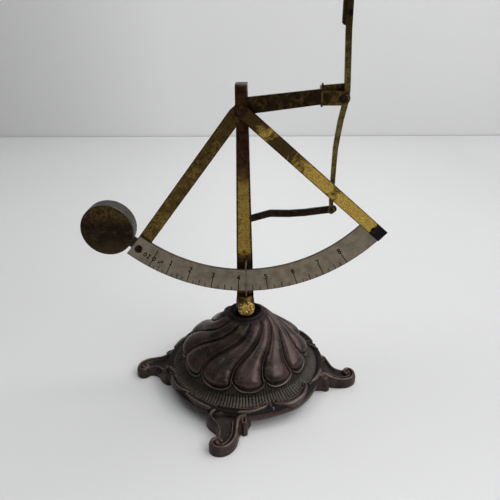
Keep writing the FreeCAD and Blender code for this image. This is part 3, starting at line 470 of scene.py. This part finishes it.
def bronzed_iron():
    """Dark bronzed casting: vertex attributes say where the relief is worn or banded, and where painted
    shade darkens its hollows.
    """
    paint = Paint("bronzed_iron")
    wear, hollow, band = (paint.attribute(name) for name in ("wear", "hollow", "band"))
    cloudy = paint.noise(0.07, 4, 0.55)
    patch = paint.noise(0.16, 5, 0.6, paint.stretched((1, 1, 1), (9, 4, 2)))
    fine = paint.noise(0.9, 5, 0.65)
    body = paint.mix(paint.step(cloudy, 0.40, 0.60), (0.017, 0.013, 0.012), (0.052, 0.031, 0.028))
    body = paint.mix(paint.step(patch, 0.50, 0.70), body, (0.068, 0.049, 0.034))
    body = paint.mix(paint.math("MULTIPLY", paint.step(fine, 0.52, 0.72), 0.5), body, (0.085, 0.060, 0.044))
    body = paint.mix(paint.step(fine, 0.40, 0.30), body, (0.014, 0.010, 0.009))
    field = paint.mix(paint.step(fine, 0.35, 0.65), (0.005, 0.0045, 0.004), (0.030, 0.028, 0.021))
    field = paint.mix(paint.step(patch, 0.42, 0.62), field, (0.034, 0.028, 0.019))
    color = paint.mix(band, body, field)
    color = paint.mix(wear, color, (0.120, 0.100, 0.082))
    # painted shade: the hollow attribute turns grooves, gaps between scrolls and flutes, the underside and
    # the collar near black
    color = paint.mix(hollow, color, (0.004, 0.0035, 0.0035))
    rough = paint.math("ADD", paint.step(fine, 0.3, 0.7, 0.25, 0.38), paint.math("MULTIPLY", hollow, 0.4))
    paint.shader.inputs["Specular Tint"].default_value = (0.62, 0.55, 0.55, 1)
    paint.height(fine, 0.05, 0.45)
    return paint.finish(color, rough, 0.5)


# ---------------------------------------------------------------- mesh helpers
def mesh_object(name, points, faces, smooth=True, attributes=()):
    """An object from points in millimetres and faces of point numbers."""
    mesh = bpy.data.meshes.new(name)
    points = np.asarray(points, float) * MM
    faces = np.asarray(faces)
    mesh.vertices.add(len(points))
    mesh.vertices.foreach_set("co", points.ravel())
    count, sides = faces.shape
    mesh.loops.add(count * sides)
    mesh.loops.foreach_set("vertex_index", faces.ravel().astype(np.int32))
    mesh.polygons.add(count)
    mesh.polygons.foreach_set("loop_start", np.arange(0, count * sides, sides, dtype=np.int32))
    mesh.polygons.foreach_set("use_smooth", np.full(count, smooth))
    mesh.update(calc_edges=True)
    mesh.validate()
    for label, values in attributes:
        layer = mesh.attributes.new(label, "FLOAT", "POINT")
        layer.data.foreach_set("value", np.asarray(values, np.float32).ravel())
    item = bpy.data.objects.new(name, mesh)
    bpy.context.scene.collection.objects.link(item)
    return item


def loop_faces(rows, columns):
    """Quads of a grid that wraps round in its columns and in its rows."""
    a, b = np.meshgrid(np.arange(rows), np.arange(columns), indexing="ij")
    after, beside = (a + 1) % rows, (b + 1) % columns
    corners = [a * columns + b, a * columns + beside, after * columns + beside, after * columns + b]
    return np.stack(corners, -1).reshape(-1, 4)


def smooth_step(x, low, high):
    t = np.clip((x - low) / (high - low), 0, 1)
    return t * t * (3 - 2 * t)


def dress(item, body, slot, *replaced, material=None):
    """Says where a piece rides, its material slot and the CAD nodes that it stands for."""
    item.data.materials.clear()
    item.data.materials.append(materials[material or slot])
    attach(item, body)
    if replaced:
        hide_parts(*replaced)
    return item


# ---------------------------------------------------------------- relief helpers
def near_line(x, y, line):
    """How far each point (x, y) is from a bent line, and how far along it the nearest spot is."""
    line = np.asarray(line, float)
    best = np.full(np.shape(x), 1e9)
    along = np.zeros(np.shape(x))
    run = 0.0
    for start, end in zip(line, line[1:]):
        chord = end - start
        length = math.hypot(*chord)
        t = np.clip(((x - start[0]) * chord[0] + (y - start[1]) * chord[1]) / length ** 2, 0, 1)
        gap = np.hypot(x - start[0] - t * chord[0], y - start[1] - t * chord[1])
        along = np.where(gap < best, run + t * length, along)
        best = np.minimum(best, gap)
        run += length
    return best, along / run


def ridge(gap, half, height):
    """A round bead across a distance: height in the middle, nothing beyond half."""
    return height * np.sqrt(np.clip(1 - (gap / half) ** 2, 0, 1))


def inside_line(x, y, line):
    """Which points lie inside a closed outline."""
    line = np.asarray(line, float)
    hit = np.zeros(np.shape(x), bool)
    for (x0, y0), (x1, y1) in zip(line, np.roll(line, -1, 0)):
        crosses = (y0 > y) != (y1 > y)
        rise = y1 - y0 if y1 != y0 else 1e-9
        hit ^= crosses & (x < (x1 - x0) * (y - y0) / rise + x0)
    return hit


# ---------------------------------------------------------------- base casting
CUSPS = [197.5, 229.0, 261.5, 291.3, 320.8, 347.2, 377.2, 407.2, 437.3, 467.3, 497.4, 527.4, 557.5]
LOBES = 12
TWIST_Z = (15, 17.5, 20, 23, 25, 27, 29, 31, 33, 35.5, 38, 41, 43)
TWIST = (0, 0, -2, -1, 2, 6.5, 14, 22, 31, 40, 49, 57, 62)
COLUMNS = 1152
COLLAR_SHIFT = 0.7
LOBE_ROUND_LENGTH = 7.0
LOBE_POWER = 2.3
LOBE_FAT_Z = (13, 16, 19, 22, 25, 29, 34, 38, 41)
LOBE_FAT = (2.2, 2.9, 3.3, 3.2, 2.9, 2.4, 2.0, 1.6, 0.9)
FLUTES = 144
FLUTE_DEPTH = 0.34
DOME_LINE = [(9.9, 41.2), (12.0, 39.6), (14.6, 36.2), (18.4, 31.6), (23.2, 27.2), (28.0, 23.0), (31.6, 19.4),
             (33.4, 16.6), (34.3, 14.2)]
BAND_LINE = [(35.2, 12.6), (36.9, 11.2), (38.6, 10.3), (39.9, 10.0)]
RIM_LINE = [(40.6, 10.2), (41.4, 10.5), (42.4, 10.6), (43.4, 10.2), (44.1, 9.2), (44.3, 7.8),
            (43.9, 6.2), (43.2, 5.0)]
UNDER_LINE = [(42.4, 4.7), (40.9, 5.0), (40.2, 7.2), (33.0, 10.0), (30.6, 14.2), (27.0, 18.6), (18.0, 27.2),
              (11.5, 33.4), (8.6, 35.6), (5.4, 35.8), (5.4, 41.6)]
COLLAR_LINE = [(7.7, 41.5), (7.9, 42.4), (8.4, 43.1), (9.0, 43.1), (9.5, 42.4), (9.7, 41.7)]
# scrolls on the rim of one half of the base: azimuth and radius, for the right front and the left front
RIM_SCROLLS = [
    ([(268, 43.2), (274, 43.0), (280, 42.4), (284.5, 41.6), (287.5, 40.4), (288.4, 39.0), (286.6, 38.5),
      (285.2, 39.4)], 0.75, 1.3),
    ([(268, 40.6), (275, 40.4), (281, 39.9), (284, 39.3)], 0.45, 0.6),
    ([(296.8, 39.2), (295.0, 38.4), (293.4, 39.0), (293.8, 40.6), (297, 42.2), (303, 43.3), (309, 43.4),
      (316, 43.0), (321.5, 41.9), (325.5, 40.5), (327.5, 39.2), (326.3, 38.3), (324.4, 38.7)], 0.8, 1.4),
    ([(297.5, 40.0), (303, 41.2), (309, 41.5), (315.5, 41.1), (321, 39.9)], 0.4, 0.7),
    ([(331, 41.6), (336, 42.4), (341, 42.8), (347, 43.0)], 0.9, 1.4),
    ([(192, 42.8), (196, 41.6), (200, 40.2), (203.2, 39.6), (205, 40.4), (203.5, 41.4)], 0.8, 1.4),
    ([(203, 42.7), (209, 43.2), (216, 43.0), (222, 42.0), (225.5, 40.6), (224.6, 39.6),
      (222.9, 40.0)], 0.8, 1.3),
    ([(207, 40.6), (213, 41.0), (219, 40.4)], 0.4, 0.7),
    ([(229, 42.6), (235, 42.9), (241, 43.1), (248, 43.4)], 0.9, 1.2),
    ([(232, 40.6), (238, 40.4), (246, 41.0), (252, 42.0)], 0.6, 1.0),
]
RIM_KNOBS = [(290.6, 41.3, 1.1), (291.2, 43.0, 1.0), (329.0, 41.0, 1.0), (226.8, 42.2, 1.2),
             (228.4, 40.2, 1.0), (231.6, 41.7, 0.8), (199.0, 42.8, 0.9)]


def resample(line, count, curve=True):
    """Evenly spaced points along a line; curve rounds it through its points."""
    line = np.asarray(line, float)
    if curve:
        line = np.array(catmull(line))
    run = np.concatenate([[0], np.cumsum(np.hypot(*np.diff(line, axis=0).T))])
    want = np.linspace(0, run[-1], count, endpoint=False)
    return np.stack([np.interp(want, run, line[:, k]) for k in range(line.shape[1])], -1)


def catmull(points, per=12):
    """A round line through the points."""
    points = [np.asarray(p, float) for p in points]
    ends = [2 * points[0] - points[1]] + points + [2 * points[-1] - points[-2]]
    out = []
    for a, b, c, d in zip(ends, ends[1:], ends[2:], ends[3:]):
        for t in np.linspace(0, 1, per, endpoint=False):
            square = (2 * a - 5 * b + 4 * c - d) * t ** 2
            cube = (3 * b - a - 3 * c + d) * t ** 3
            out.append(0.5 * (2 * b + (c - a) * t + square + cube))
    out.append(points[-1])
    return out


def polar_points(spots):
    """x and y of (azimuth, radius) pairs."""
    return [(r * math.cos(math.radians(az)), r * math.sin(math.radians(az))) for az, r in spots]


def rim_relief(x, y):
    """Height of the scrolls and knobs on the rim; the back half is the front half turned round."""
    height = np.zeros(np.shape(x))
    for sign in (1, -1):
        for spots, half, rise in RIM_SCROLLS:
            line = catmull(polar_points(spots), 5)
            gap, along = near_line(sign * x, sign * y, line)
            taper = 0.55 + 0.45 * np.sin(np.pi * np.clip(along, 0.02, 0.98)) ** 0.5
            height = np.maximum(height, ridge(gap, 1.1 * half * taper, rise * 0.85))
        for az, r, size in RIM_KNOBS:
            (kx, ky), = polar_points([(az, r)])
            gap = np.hypot(sign * x - kx, sign * y - ky)
            height = np.maximum(height, ridge(gap, size, size * 0.75))
    return height


def base_casting():
    """The casting without its feet: a turned outline, raised and lowered by its relief."""
    parts = [("collar", COLLAR_LINE, 16), ("dome", DOME_LINE, 130), ("band", BAND_LINE, 24),
             ("rim", RIM_LINE, 44), ("under", UNDER_LINE, 20)]
    line, kind = [], []
    for number, (label, corners, count) in enumerate(parts):
        following = parts[(number + 1) % len(parts)][1][0]
        line.append(resample(corners + [following], count, curve=label != "under"))
        kind += [label] * count
    line = np.concatenate(line)
    kind = np.array(kind)
    rows = len(line)
    tangent = np.roll(line, -1, 0) - np.roll(line, 1, 0)
    tangent /= np.hypot(*tangent.T)[:, None]
    normal = np.stack([-tangent[:, 1], tangent[:, 0]], -1)
    azimuth = np.linspace(0, 360, COLUMNS, endpoint=False)
    radius, level = (np.repeat(line[:, k][:, None], COLUMNS, 1) for k in (0, 1))
    spin = np.repeat(azimuth[None], rows, 0)
    rise = np.zeros((rows, COLUMNS))
    wear, hollow, band = (np.zeros((rows, COLUMNS)) for _ in range(3))

    # lobes: how far across its lobe and how near its end each point of the dome is
    unwound = (spin - np.interp(level, TWIST_Z, TWIST) - CUSPS[0]) % 360 + CUSPS[0]
    lobe = np.interp(unwound, CUSPS, np.arange(LOBES + 1))
    across = 2 * (lobe - np.floor(lobe)) - 1
    dome = np.isin(kind, ("dome", "band"))[:, None] & (level > 9)
    run = np.concatenate([[0], np.cumsum(np.hypot(*np.diff(line, axis=0).T))])
    end_run = run[np.argmax((kind == "dome") & (line[:, 1] < 15.2))]
    below = np.clip((run[:, None] - end_run) / LOBE_ROUND_LENGTH + 1, 0, None)
    inside = 1 - (np.abs(across) ** LOBE_POWER + below ** LOBE_POWER) ** (1 / LOBE_POWER)
    low = smooth_step(below, 0.35, 1.0)
    bead_half = 0.045 + 0.055 * low
    start = bead_half + 0.035
    climb = np.clip((inside - start) / (1 - start), 0, 1)
    lobes = np.interp(level, LOBE_FAT_Z, LOBE_FAT) * (1 - (1 - climb) ** 2.6) ** 0.60
    bead = ridge(inside, bead_half, 1.0) * np.interp(radius, [11, 20, 32], [0.35, 0.7, 1.0])
    relief = lobes + bead - 0.25 * np.exp(-((inside - start) / 0.03) ** 2)
    fade = smooth_step(-level, -41.4, -39.6)
    rise += np.where(dome, relief * fade, 0)
    rubbed = (0.35 + 0.55 * low) * np.exp(-(inside / (0.6 * bead_half)) ** 2)
    wear += np.where(dome, rubbed * smooth_step(-level, -38, -20), 0)
    # painted shade in the grooves beside the beads and at the lobes' lower ends
    hollow += np.where(dome, 0.95 * np.exp(-((inside - start) / 0.030) ** 2), 0)
    hollow += np.where(dome, 0.5 * np.exp(-((inside + bead_half + 0.04) / 0.05) ** 2), 0)

    # fluted band
    outside = smooth_step(-inside, 0.06, 0.13)
    wobble = 0.9 * np.sin(np.radians(spin * 11)) + 0.6 * np.sin(np.radians(spin * 29 + 40))
    flute = np.abs(np.sin(np.radians((spin + 0.35 * wobble) * FLUTES / 2)))
    on_band = ((kind == "band") | ((kind == "dome") & (line[:, 1] < 20)))[:, None] & (inside < 0)
    edge = smooth_step(-radius, -40.4, -39.4)
    rise += np.where(on_band, FLUTE_DEPTH * flute * outside * edge, 0)
    band += np.where(on_band, outside * (0.4 + 0.6 * edge), 0)
    # painted shade between the flutes
    hollow += np.where(on_band, 0.60 * (1 - flute) ** 2, 0)
    wear += np.where(on_band, 0.14 * flute ** 4 * outside, 0)

    # rim: scrolls and knobs on a slightly swelling outline
    turn = np.radians(spin)
    on_rim = (kind == "rim")[:, None]
    rim = on_rim | ((kind == "band")[:, None] & (radius > 36.5))
    scroll = np.where(rim, rim_relief(radius * np.cos(turn), radius * np.sin(turn)), 0)
    top = smooth_step(level, 7.2, 9.4)
    rise += scroll * top
    wear += np.where(rim, 0.42 * smooth_step(scroll, 0.55, 0.95) * top, 0)
    # painted shade on the rim between the scrolls
    between = 0.92 * (1 - smooth_step(scroll, 0.0, 0.35)) * smooth_step(level, 8.6, 9.6)
    hollow += np.where(on_rim, between, 0)
    band = np.where(rim, band * (1 - smooth_step(scroll, 0.05, 0.3)), band)
    rise += on_rim * rim_swell(spin) * smooth_step(radius, 42.0, 44.0)
    # painted shade under the casting, inside the collar and on the dome next to it
    hollow += np.where((kind == "under")[:, None], 0.8, 0)
    hollow += np.where((kind == "collar")[:, None], 0.85, 0)
    hollow += np.where(dome, 0.6 * smooth_step(level, 38.5, 41.0), 0)

    radius = radius + rise * normal[:, 0][:, None]
    level = level + rise * normal[:, 1][:, None]
    shift = COLLAR_SHIFT * smooth_step(level, 20, 41)
    points = np.stack([radius * np.cos(turn) + shift, radius * np.sin(turn), level], -1).reshape(-1, 3)
    attributes = [(label, np.clip(values, 0, 1))
                  for label, values in (("wear", wear), ("hollow", hollow), ("band", band))]
    item = mesh_object("base_body", points, loop_faces(rows, COLUMNS), attributes=attributes)
    return dress(item, "stand", "bronzed_iron", "base_casting")


def rim_swell(azimuth):
    """Lobes of the rim's outline: fuller between the feet at the right front and the left back."""
    from_swell = np.mod(azimuth - 308 + 90, 180) - 90
    return 0.9 * np.exp(-(from_swell / 13.0) ** 2) + 0.25 * np.cos(8 * np.radians(azimuth) - 0.7)


# ---------------------------------------------------------------- scroll feet
FOOT_LINE = [(40.0, 9.8), (42.6, 9.2), (44.4, 8.9), (45.6, 9.2), (47.2, 9.0), (48.2, 7.6), (47.6, 6.2),
             (48.6, 5.6), (51.4, 5.6), (54.4, 5.4), (57.4, 4.6), (60.0, 3.0), (61.9, 0.6), (62.7, -2.0),
             (62.3, -4.8), (60.6, -6.9), (58.2, -7.7), (56.2, -7.0), (55.2, -5.6), (54.2, -4.8),
             (51.8, -4.9), (49.6, -6.3), (48.2, -8.0), (46.4, -10.6), (43.6, -12.6), (40.6, -12.8)]
FOOT_DIRECTIONS = ((262.5, 1), (352.5, -1), (82.5, 1), (178.5, -1))
FOOT_CELL = 0.28
FOOT_REACH = (39.6, 63.6)
FOOT_BREADTH = (-13.6, 10.2)
FOOT_SLOPE_OUT = (41, 43.5, 46.5, 50, 54, 63)
FOOT_SLOPE = (9.2, 8.7, 7.0, 5.4, 4.6, 4.3)
FOOT_BEADS = [
    ([(43.2, 7.4), (45.4, 4.4), (48.6, 4.3), (51.6, 4.5), (54.6, 4.3), (57.6, 3.3), (60.2, 1.3),
      (61.5, -1.6), (61.0, -4.6), (58.9, -6.3), (56.8, -5.4), (56.2, -3.2), (57.4, -1.6)], 1.05, 1.25),
    ([(46.8, 1.9), (50.0, 2.2), (53.4, 2.3), (56.6, 1.3), (59.0, -0.6), (59.5, -3.0)], 0.55, 0.7),
    ([(41.0, 8.6), (42.0, 4.4), (41.6, 0.0), (41.4, -4.4), (42.4, -8.4), (45.2, -10.2)], 1.0, 1.2),
    ([(43.6, 4.4), (43.4, 0.2), (43.4, -4.2), (44.6, -7.6)], 0.55, 0.8),
    ([(44.6, 8.2), (46.0, 8.3), (47.0, 7.5), (46.6, 6.3), (45.5, 6.5)], 0.7, 0.9),
    ([(45.2, -10.2), (47.0, -7.8), (49.0, -5.2), (51.6, -3.8), (54.4, -3.8)], 0.9, 1.0),
]
FOOT_BOSS = (58.5, -3.6, 1.25, 1.1)


def foot_height(out, side, line):
    """The top of a foot, how worn and fluted it is, and the painted shade on its sunk ground."""
    edge, _ = near_line(out, side, np.vstack([line, line[:1]]))
    slope = np.interp(out, FOOT_SLOPE_OUT, FOOT_SLOPE)
    top = slope - 0.9 * (1 - np.clip(edge / 1.1, 0, 1)) ** 2 + 0.25 * np.clip(edge / 2.4, 0, 1)
    bead = np.zeros_like(top)
    for spots, half, rise in FOOT_BEADS:
        gap, _ = near_line(out, side, catmull(spots, 5))
        bead = np.maximum(bead, ridge(gap, half, rise))
    boss_out, boss_side, boss_half, boss_rise = FOOT_BOSS
    bead = np.maximum(bead, ridge(np.hypot(out - boss_out, side - boss_side), boss_half, boss_rise))
    field = smooth_step(edge, 1.6, 2.6) * (1 - smooth_step(bead, 0.02, 0.2)) * smooth_step(out, 44.5, 46.5)
    flute = np.abs(np.sin(out * 3.6 + 0.5 * side))
    channel = smooth_step(edge, 0.9, 1.6) * (1 - smooth_step(bead, 0.0, 0.25))
    top = top - 0.9 * channel + 0.25 * flute * field + bead
    wear = 0.32 * smooth_step(bead, 0.75, 1.15)
    # painted shade on the sunk ground between the beads, strongest near the edge
    hollow = channel * (0.85 - 0.45 * field)
    return top, wear, hollow, 0.9 * field


def snap_to_line(x, y, line):
    """Moves points onto the nearest spot of a closed outline."""
    best = np.full(len(x), 1e9)
    spot = np.stack([x, y], -1)
    for start, end in zip(line, np.roll(line, -1, 0)):
        chord = end - start
        reach = (x - start[0]) * chord[0] + (y - start[1]) * chord[1]
        t = np.clip(reach / max(chord @ chord, 1e-12), 0, 1)
        near = start + t[:, None] * chord
        gap = np.hypot(x - near[:, 0], y - near[:, 1])
        closer = gap < best
        spot[closer] = near[closer]
        best = np.where(closer, gap, best)
    return spot


def scroll_foot(number, direction, hand):
    """A closed foot: a fine grid over its plan, its rim snapped to the outline, with walls and a sole."""
    line = np.array(catmull(FOOT_LINE, 5))
    columns, rows = np.arange(*FOOT_REACH, FOOT_CELL), np.arange(*FOOT_BREADTH, FOOT_CELL)
    out, side = np.meshgrid(columns, rows, indexing="ij")
    hit = inside_line(out, side, line)
    whole = hit[:-1, :-1] & hit[1:, :-1] & hit[:-1, 1:] & hit[1:, 1:]
    index = np.arange(out.size).reshape(out.shape)
    quads = np.stack([index[:-1, :-1], index[1:, :-1], index[1:, 1:], index[:-1, 1:]], -1)[whole]
    edges = {}
    for quad in quads.tolist():
        for a, b in zip(quad, quad[1:] + quad[:1]):
            if (b, a) in edges:
                del edges[(b, a)]
            else:
                edges[(a, b)] = True
    rim = np.array(sorted({a for a, _ in edges}))
    spots = np.stack([out.ravel(), side.ravel()], -1)
    spots[rim] = snap_to_line(spots[rim, 0], spots[rim, 1], line)
    used = np.unique(quads)
    number_of = np.zeros(out.size, int)
    number_of[used] = np.arange(len(used))
    spots = spots[used]
    top, wear, hollow, band = foot_height(spots[:, 0], spots[:, 1], line)
    quads = number_of[quads]
    ring = number_of[np.array(list(edges))]
    count = len(used)
    levels = [top, np.clip(top - 1.3, 1.2, None), np.full(count, 0.8), np.zeros(count)]
    x = np.concatenate([spots[:, 0]] * 4)
    y = np.concatenate([spots[:, 1]] * 4)
    z = np.concatenate(levels)
    faces = [quads, quads[:, ::-1] + 3 * count]
    for layer in range(3):
        upper, lower = layer * count, (layer + 1) * count
        corners = [ring[:, 1] + upper, ring[:, 0] + upper, ring[:, 0] + lower, ring[:, 1] + lower]
        faces.append(np.stack(corners, -1))
    turn = math.radians(direction)
    y = y * hand
    turned_x = x * math.cos(turn) - y * math.sin(turn)
    turned_y = x * math.sin(turn) + y * math.cos(turn)
    points = np.stack([turned_x, turned_y, z], -1)
    faces = np.concatenate(faces)
    faces = faces if hand > 0 else faces[:, ::-1]
    keep_rows, inverse = np.unique(faces, return_inverse=True)
    faces = inverse.reshape(faces.shape)
    attributes = [(label, np.concatenate([values, values * 0.3, values * 0, values * 0])[keep_rows])
                  for label, values in (("wear", wear), ("hollow", hollow), ("band", band))]
    item = mesh_object("foot_%d" % number, points[keep_rows], faces, attributes=attributes)
    return dress(item, "stand", "bronzed_iron")


# ---------------------------------------------------------------- mechanism pieces
ARC_FACE = -5.4
TOP_OUNCE = 8
# A bent lever comes to rest where the load's moment meets the counterweight's.  So the load is
# (LEVEL_LOAD + LOAD_PULL * t) / (1 + ARM_RISE * t) ounces, where t is the tangent of the arc's angle
# from straight down at the mark that stands at the index.
LEVEL_LOAD = 4.17
LOAD_PULL = 6.69
ARM_RISE = 0.154
NUMERAL_REACH = 84.2
NUMERAL_TALL = 2.5
DIGIT_TALL = 1.6
DIGITS = {
    "0": [[(0.5, 1.6), (0.15, 1.35), (0.02, 0.8), (0.15, 0.25), (0.5, 0), (0.85, 0.25), (0.98, 0.8),
           (0.85, 1.35), (0.5, 1.6)]],
    "1": [[(0.2, 1.3), (0.5, 1.6), (0.5, 0)], [(0.2, 0), (0.8, 0)]],
    "2": [[(0.05, 1.25), (0.25, 1.55), (0.55, 1.6), (0.88, 1.4), (0.85, 1.05), (0.05, 0), (0.95, 0)]],
    "3": [[(0.1, 1.4), (0.4, 1.6), (0.8, 1.5), (0.85, 1.15), (0.45, 0.85), (0.92, 0.55), (0.8, 0.12),
           (0.4, 0), (0.05, 0.2)]],
    "4": [[(0.7, 0), (0.7, 1.6), (0.05, 0.5), (0.95, 0.5)]],
    "5": [[(0.9, 1.6), (0.2, 1.6), (0.15, 0.9), (0.6, 1.0), (0.95, 0.6), (0.8, 0.12), (0.4, 0),
           (0.05, 0.15)]],
    "6": [[(0.85, 1.5), (0.4, 1.4), (0.08, 0.75), (0.15, 0.2), (0.5, 0), (0.88, 0.2), (0.9, 0.65),
           (0.55, 0.95), (0.12, 0.65)]],
    "7": [[(0.05, 1.6), (0.95, 1.6), (0.4, 0)]],
    "8": [[(0.5, 0.85), (0.15, 1.1), (0.2, 1.5), (0.5, 1.6), (0.8, 1.5), (0.85, 1.1), (0.5, 0.85),
           (0.08, 0.5), (0.15, 0.1), (0.5, 0), (0.85, 0.1), (0.92, 0.5), (0.5, 0.85)]],
    "/": [[(0.1, 0), (0.9, 1.6)]],
    "Z": [[(0.05, 1.6), (0.95, 1.6), (0.05, 0), (0.95, 0)]],
}
# label, angle, reach and height of the marks beside the zero line
LABELS = [("0", -31.7, 86.6, 2.3), ("0", -35.0, 86.8, 2.2), ("Z", -33.6, 86.8, 2.2), ("1", -29.9, 86.9, 1.2),
          ("/", -29.3, 86.5, 2.0), ("2", -28.7, 85.9, 1.2)]


def mark_angle(ounces):
    """The angle from straight down, right positive, of a load's mark."""
    return math.degrees(math.atan((ounces - LEVEL_LOAD) / (LOAD_PULL - ARM_RISE * ounces)))


def on_arc(angle, reach):
    """x and z of a point on the arc: angle from straight down, right positive."""
    turn = math.radians(angle)
    return reach * math.sin(turn), PIVOT_Z - reach * math.cos(turn)


class Ribbons:
    """Flat-topped strokes that stand a hair proud of a face that looks along -Y."""

    def __init__(self, face, proud):
        self.front, self.back = face - proud, face + 0.02
        self.points, self.faces = [], []

    def stroke(self, start, end, half, grow=0.0):
        start, end = np.asarray(start, float), np.asarray(end, float)
        way = (end - start) / np.hypot(*(end - start))
        across = np.array([-way[1], way[0]]) * half
        start, end = start - way * grow, end + way * grow
        first = len(self.points)
        for y in (self.front, self.back):
            for spot in (start - across, end - across, end + across, start + across):
                self.points.append((spot[0], y, spot[1]))
        for face in ((0, 1, 2, 3), (7, 6, 5, 4), (0, 4, 5, 1), (1, 5, 6, 2), (2, 6, 7, 3), (3, 7, 4, 0)):
            self.faces.append([first + k for k in face])


def mark_start(quarter):
    """Where the line for a number of quarter ounces starts: longest at zero, shortest at odd quarters."""
    if quarter == 0:
        return 81.1
    if quarter % 4 == 0:
        return 85.6
    return 88.7 if quarter % 2 == 0 else 89.7


def draw_label(ribbons, label, angle, reach, tall):
    """One numeral or sign, upright along its own radius of the arc."""
    turn = math.radians(angle)
    right, up = np.array([math.cos(turn), math.sin(turn)]), np.array([-math.sin(turn), math.cos(turn)])
    middle = np.array(on_arc(angle, reach))
    scale = tall / DIGIT_TALL
    for line in DIGITS[label]:
        spots = [middle + scale * (0.95 * (u - 0.5) * right + (v - DIGIT_TALL / 2) * up) for u, v in line]
        for a, b in zip(spots, spots[1:]):
            ribbons.stroke(a, b, 0.27 if tall > 2 else 0.19, 0.08)


def arc_marks():
    """The engraved lines and numerals of the arc, filled with black."""
    ink_lines = Ribbons(ARC_FACE, 0.018)
    for quarter in range(4 * TOP_OUNCE + 1):
        angle = mark_angle(quarter / 4)
        half = 0.21 if quarter % 4 == 0 else 0.18
        ink_lines.stroke(on_arc(angle, mark_start(quarter)), on_arc(angle, 91.7), half)
    for ounces in range(1, TOP_OUNCE + 1):
        draw_label(ink_lines, str(ounces), mark_angle(ounces), NUMERAL_REACH, NUMERAL_TALL)
    for label in LABELS:
        draw_label(ink_lines, *label)
    item = mesh_object("arc_marks", ink_lines.points, ink_lines.faces, smooth=False)
    return dress(item, "quadrant", "arc_steel", material="ink")


def boss_grain(size):
    """One grain: how far out, at what angle, and its half width."""
    return rng.uniform(0, 0.96) ** 0.5 * size * 0.97, rng.uniform(0, 2 * math.pi), rng.uniform(0.3, 0.5)


def foot_boss():
    """The granulated boss on the column's foot."""
    middle_x, middle_z, face, back, size = 1.4, 47.1, -6.35, -4.9, 4.4
    rings, columns, grain_count = 40, 120, 150
    grains = [boss_grain(size) for _ in range(grain_count)]
    reach = np.linspace(0.02, size, rings)
    turn = np.linspace(0, 2 * math.pi, columns, endpoint=False)
    r, t = np.meshgrid(reach, turn, indexing="ij")
    x, z = r * np.cos(t), r * np.sin(t)
    bump = np.zeros_like(r)
    for gr, gt, half in grains:
        gap = np.hypot(x - gr * math.cos(gt), z - gr * math.sin(gt))
        bump = np.maximum(bump, ridge(gap, half, 0.28))
    domed = 0.35 * (1 - (r / size) ** 2)
    rounded_edge = 0.5 * np.clip((r - size + 0.35) / 0.35, 0, 1) ** 2
    y = face + 0.25 - bump - domed + rounded_edge
    hollow = np.clip(1 - bump / 0.10, 0, 1) * 0.85
    rows = [np.stack([x, y, z], -1)]
    rows.append(np.stack([x[-1:], np.full_like(x[-1:], back), z[-1:]], -1))
    rows.append(np.stack([x[:1], np.full_like(x[:1], back), z[:1]], -1))
    points = np.concatenate([row.reshape(-1, columns, 3) for row in rows])
    hollow = np.concatenate([hollow, np.zeros((2, columns))])
    points = points + np.array([middle_x, 0, middle_z])
    faces = loop_faces(len(points), columns)
    item = mesh_object("boss_face", points.reshape(-1, 3), faces, attributes=[("hollow", hollow)])
    return dress(item, "stand", "boss_brass", "foot_boss")


PIECE_PAINT = {"left_spoke": "left_brass", "right_spoke": "right_brass", "yoke": "yoke_brass"}
# bevel widths; a piece that isn't listed has PLAIN_BEVEL
PLAIN_BEVEL = 0.08
BEVELS = {"column": 0.35, "arc_plate": 0.12, "letter_tray": 0.3, "tray_bracket": 0.2, "pan_rod": 0.3,
          "stay_link": 0.25, "beam_arm": 0.18, "left_spoke": 0.15, "right_spoke": 0.15, "yoke": 0.15,
          "counterweight": 0.0, "index_wire": 0.0, "base_casting": 0.0, "foot_boss": 0.0}


def finish_nodes():
    """CAD pieces keep their shape; they get their material and softened edges."""
    slots = {entry["node"]: entry["material_slot"] for entry in frame["record"]["subparts"]}
    for label, item in nodes.items():
        item.data.materials.clear()
        item.data.materials.append(materials[PIECE_PAINT.get(label, slots[label])])
        width = BEVELS.get(label, PLAIN_BEVEL)
        if width:
            bevel = item.modifiers.new("soft_edges", "BEVEL")
            bevel.width = width * MM
            bevel.segments = 2
            bevel.limit_method = "ANGLE"
            bevel.angle_limit = math.radians(40)
            bevel.use_clamp_overlap = True


add_camera()
add_world()
add_stage()
area_light("key", (0.82, 0.12, 0.95), (0, 0, 0.04), (1.0, 1.0), 8)
area_light("fill", (0.75, -0.62, 0.72), (0, 0, 0.03), (0.7, 0.5), 4.0)
area_light("wall_light", (0.1, 0.12, 1.25), (0.0, 0.64, 0.25), (1.6, 0.3), 6)
materials = make_materials()
finish_nodes()
arc_marks()
foot_boss()
base_casting()
for number, (direction, hand) in enumerate(FOOT_DIRECTIONS):
    scroll_foot(number, direction, hand)

bpy.context.scene.view_settings.view_transform = "Standard"
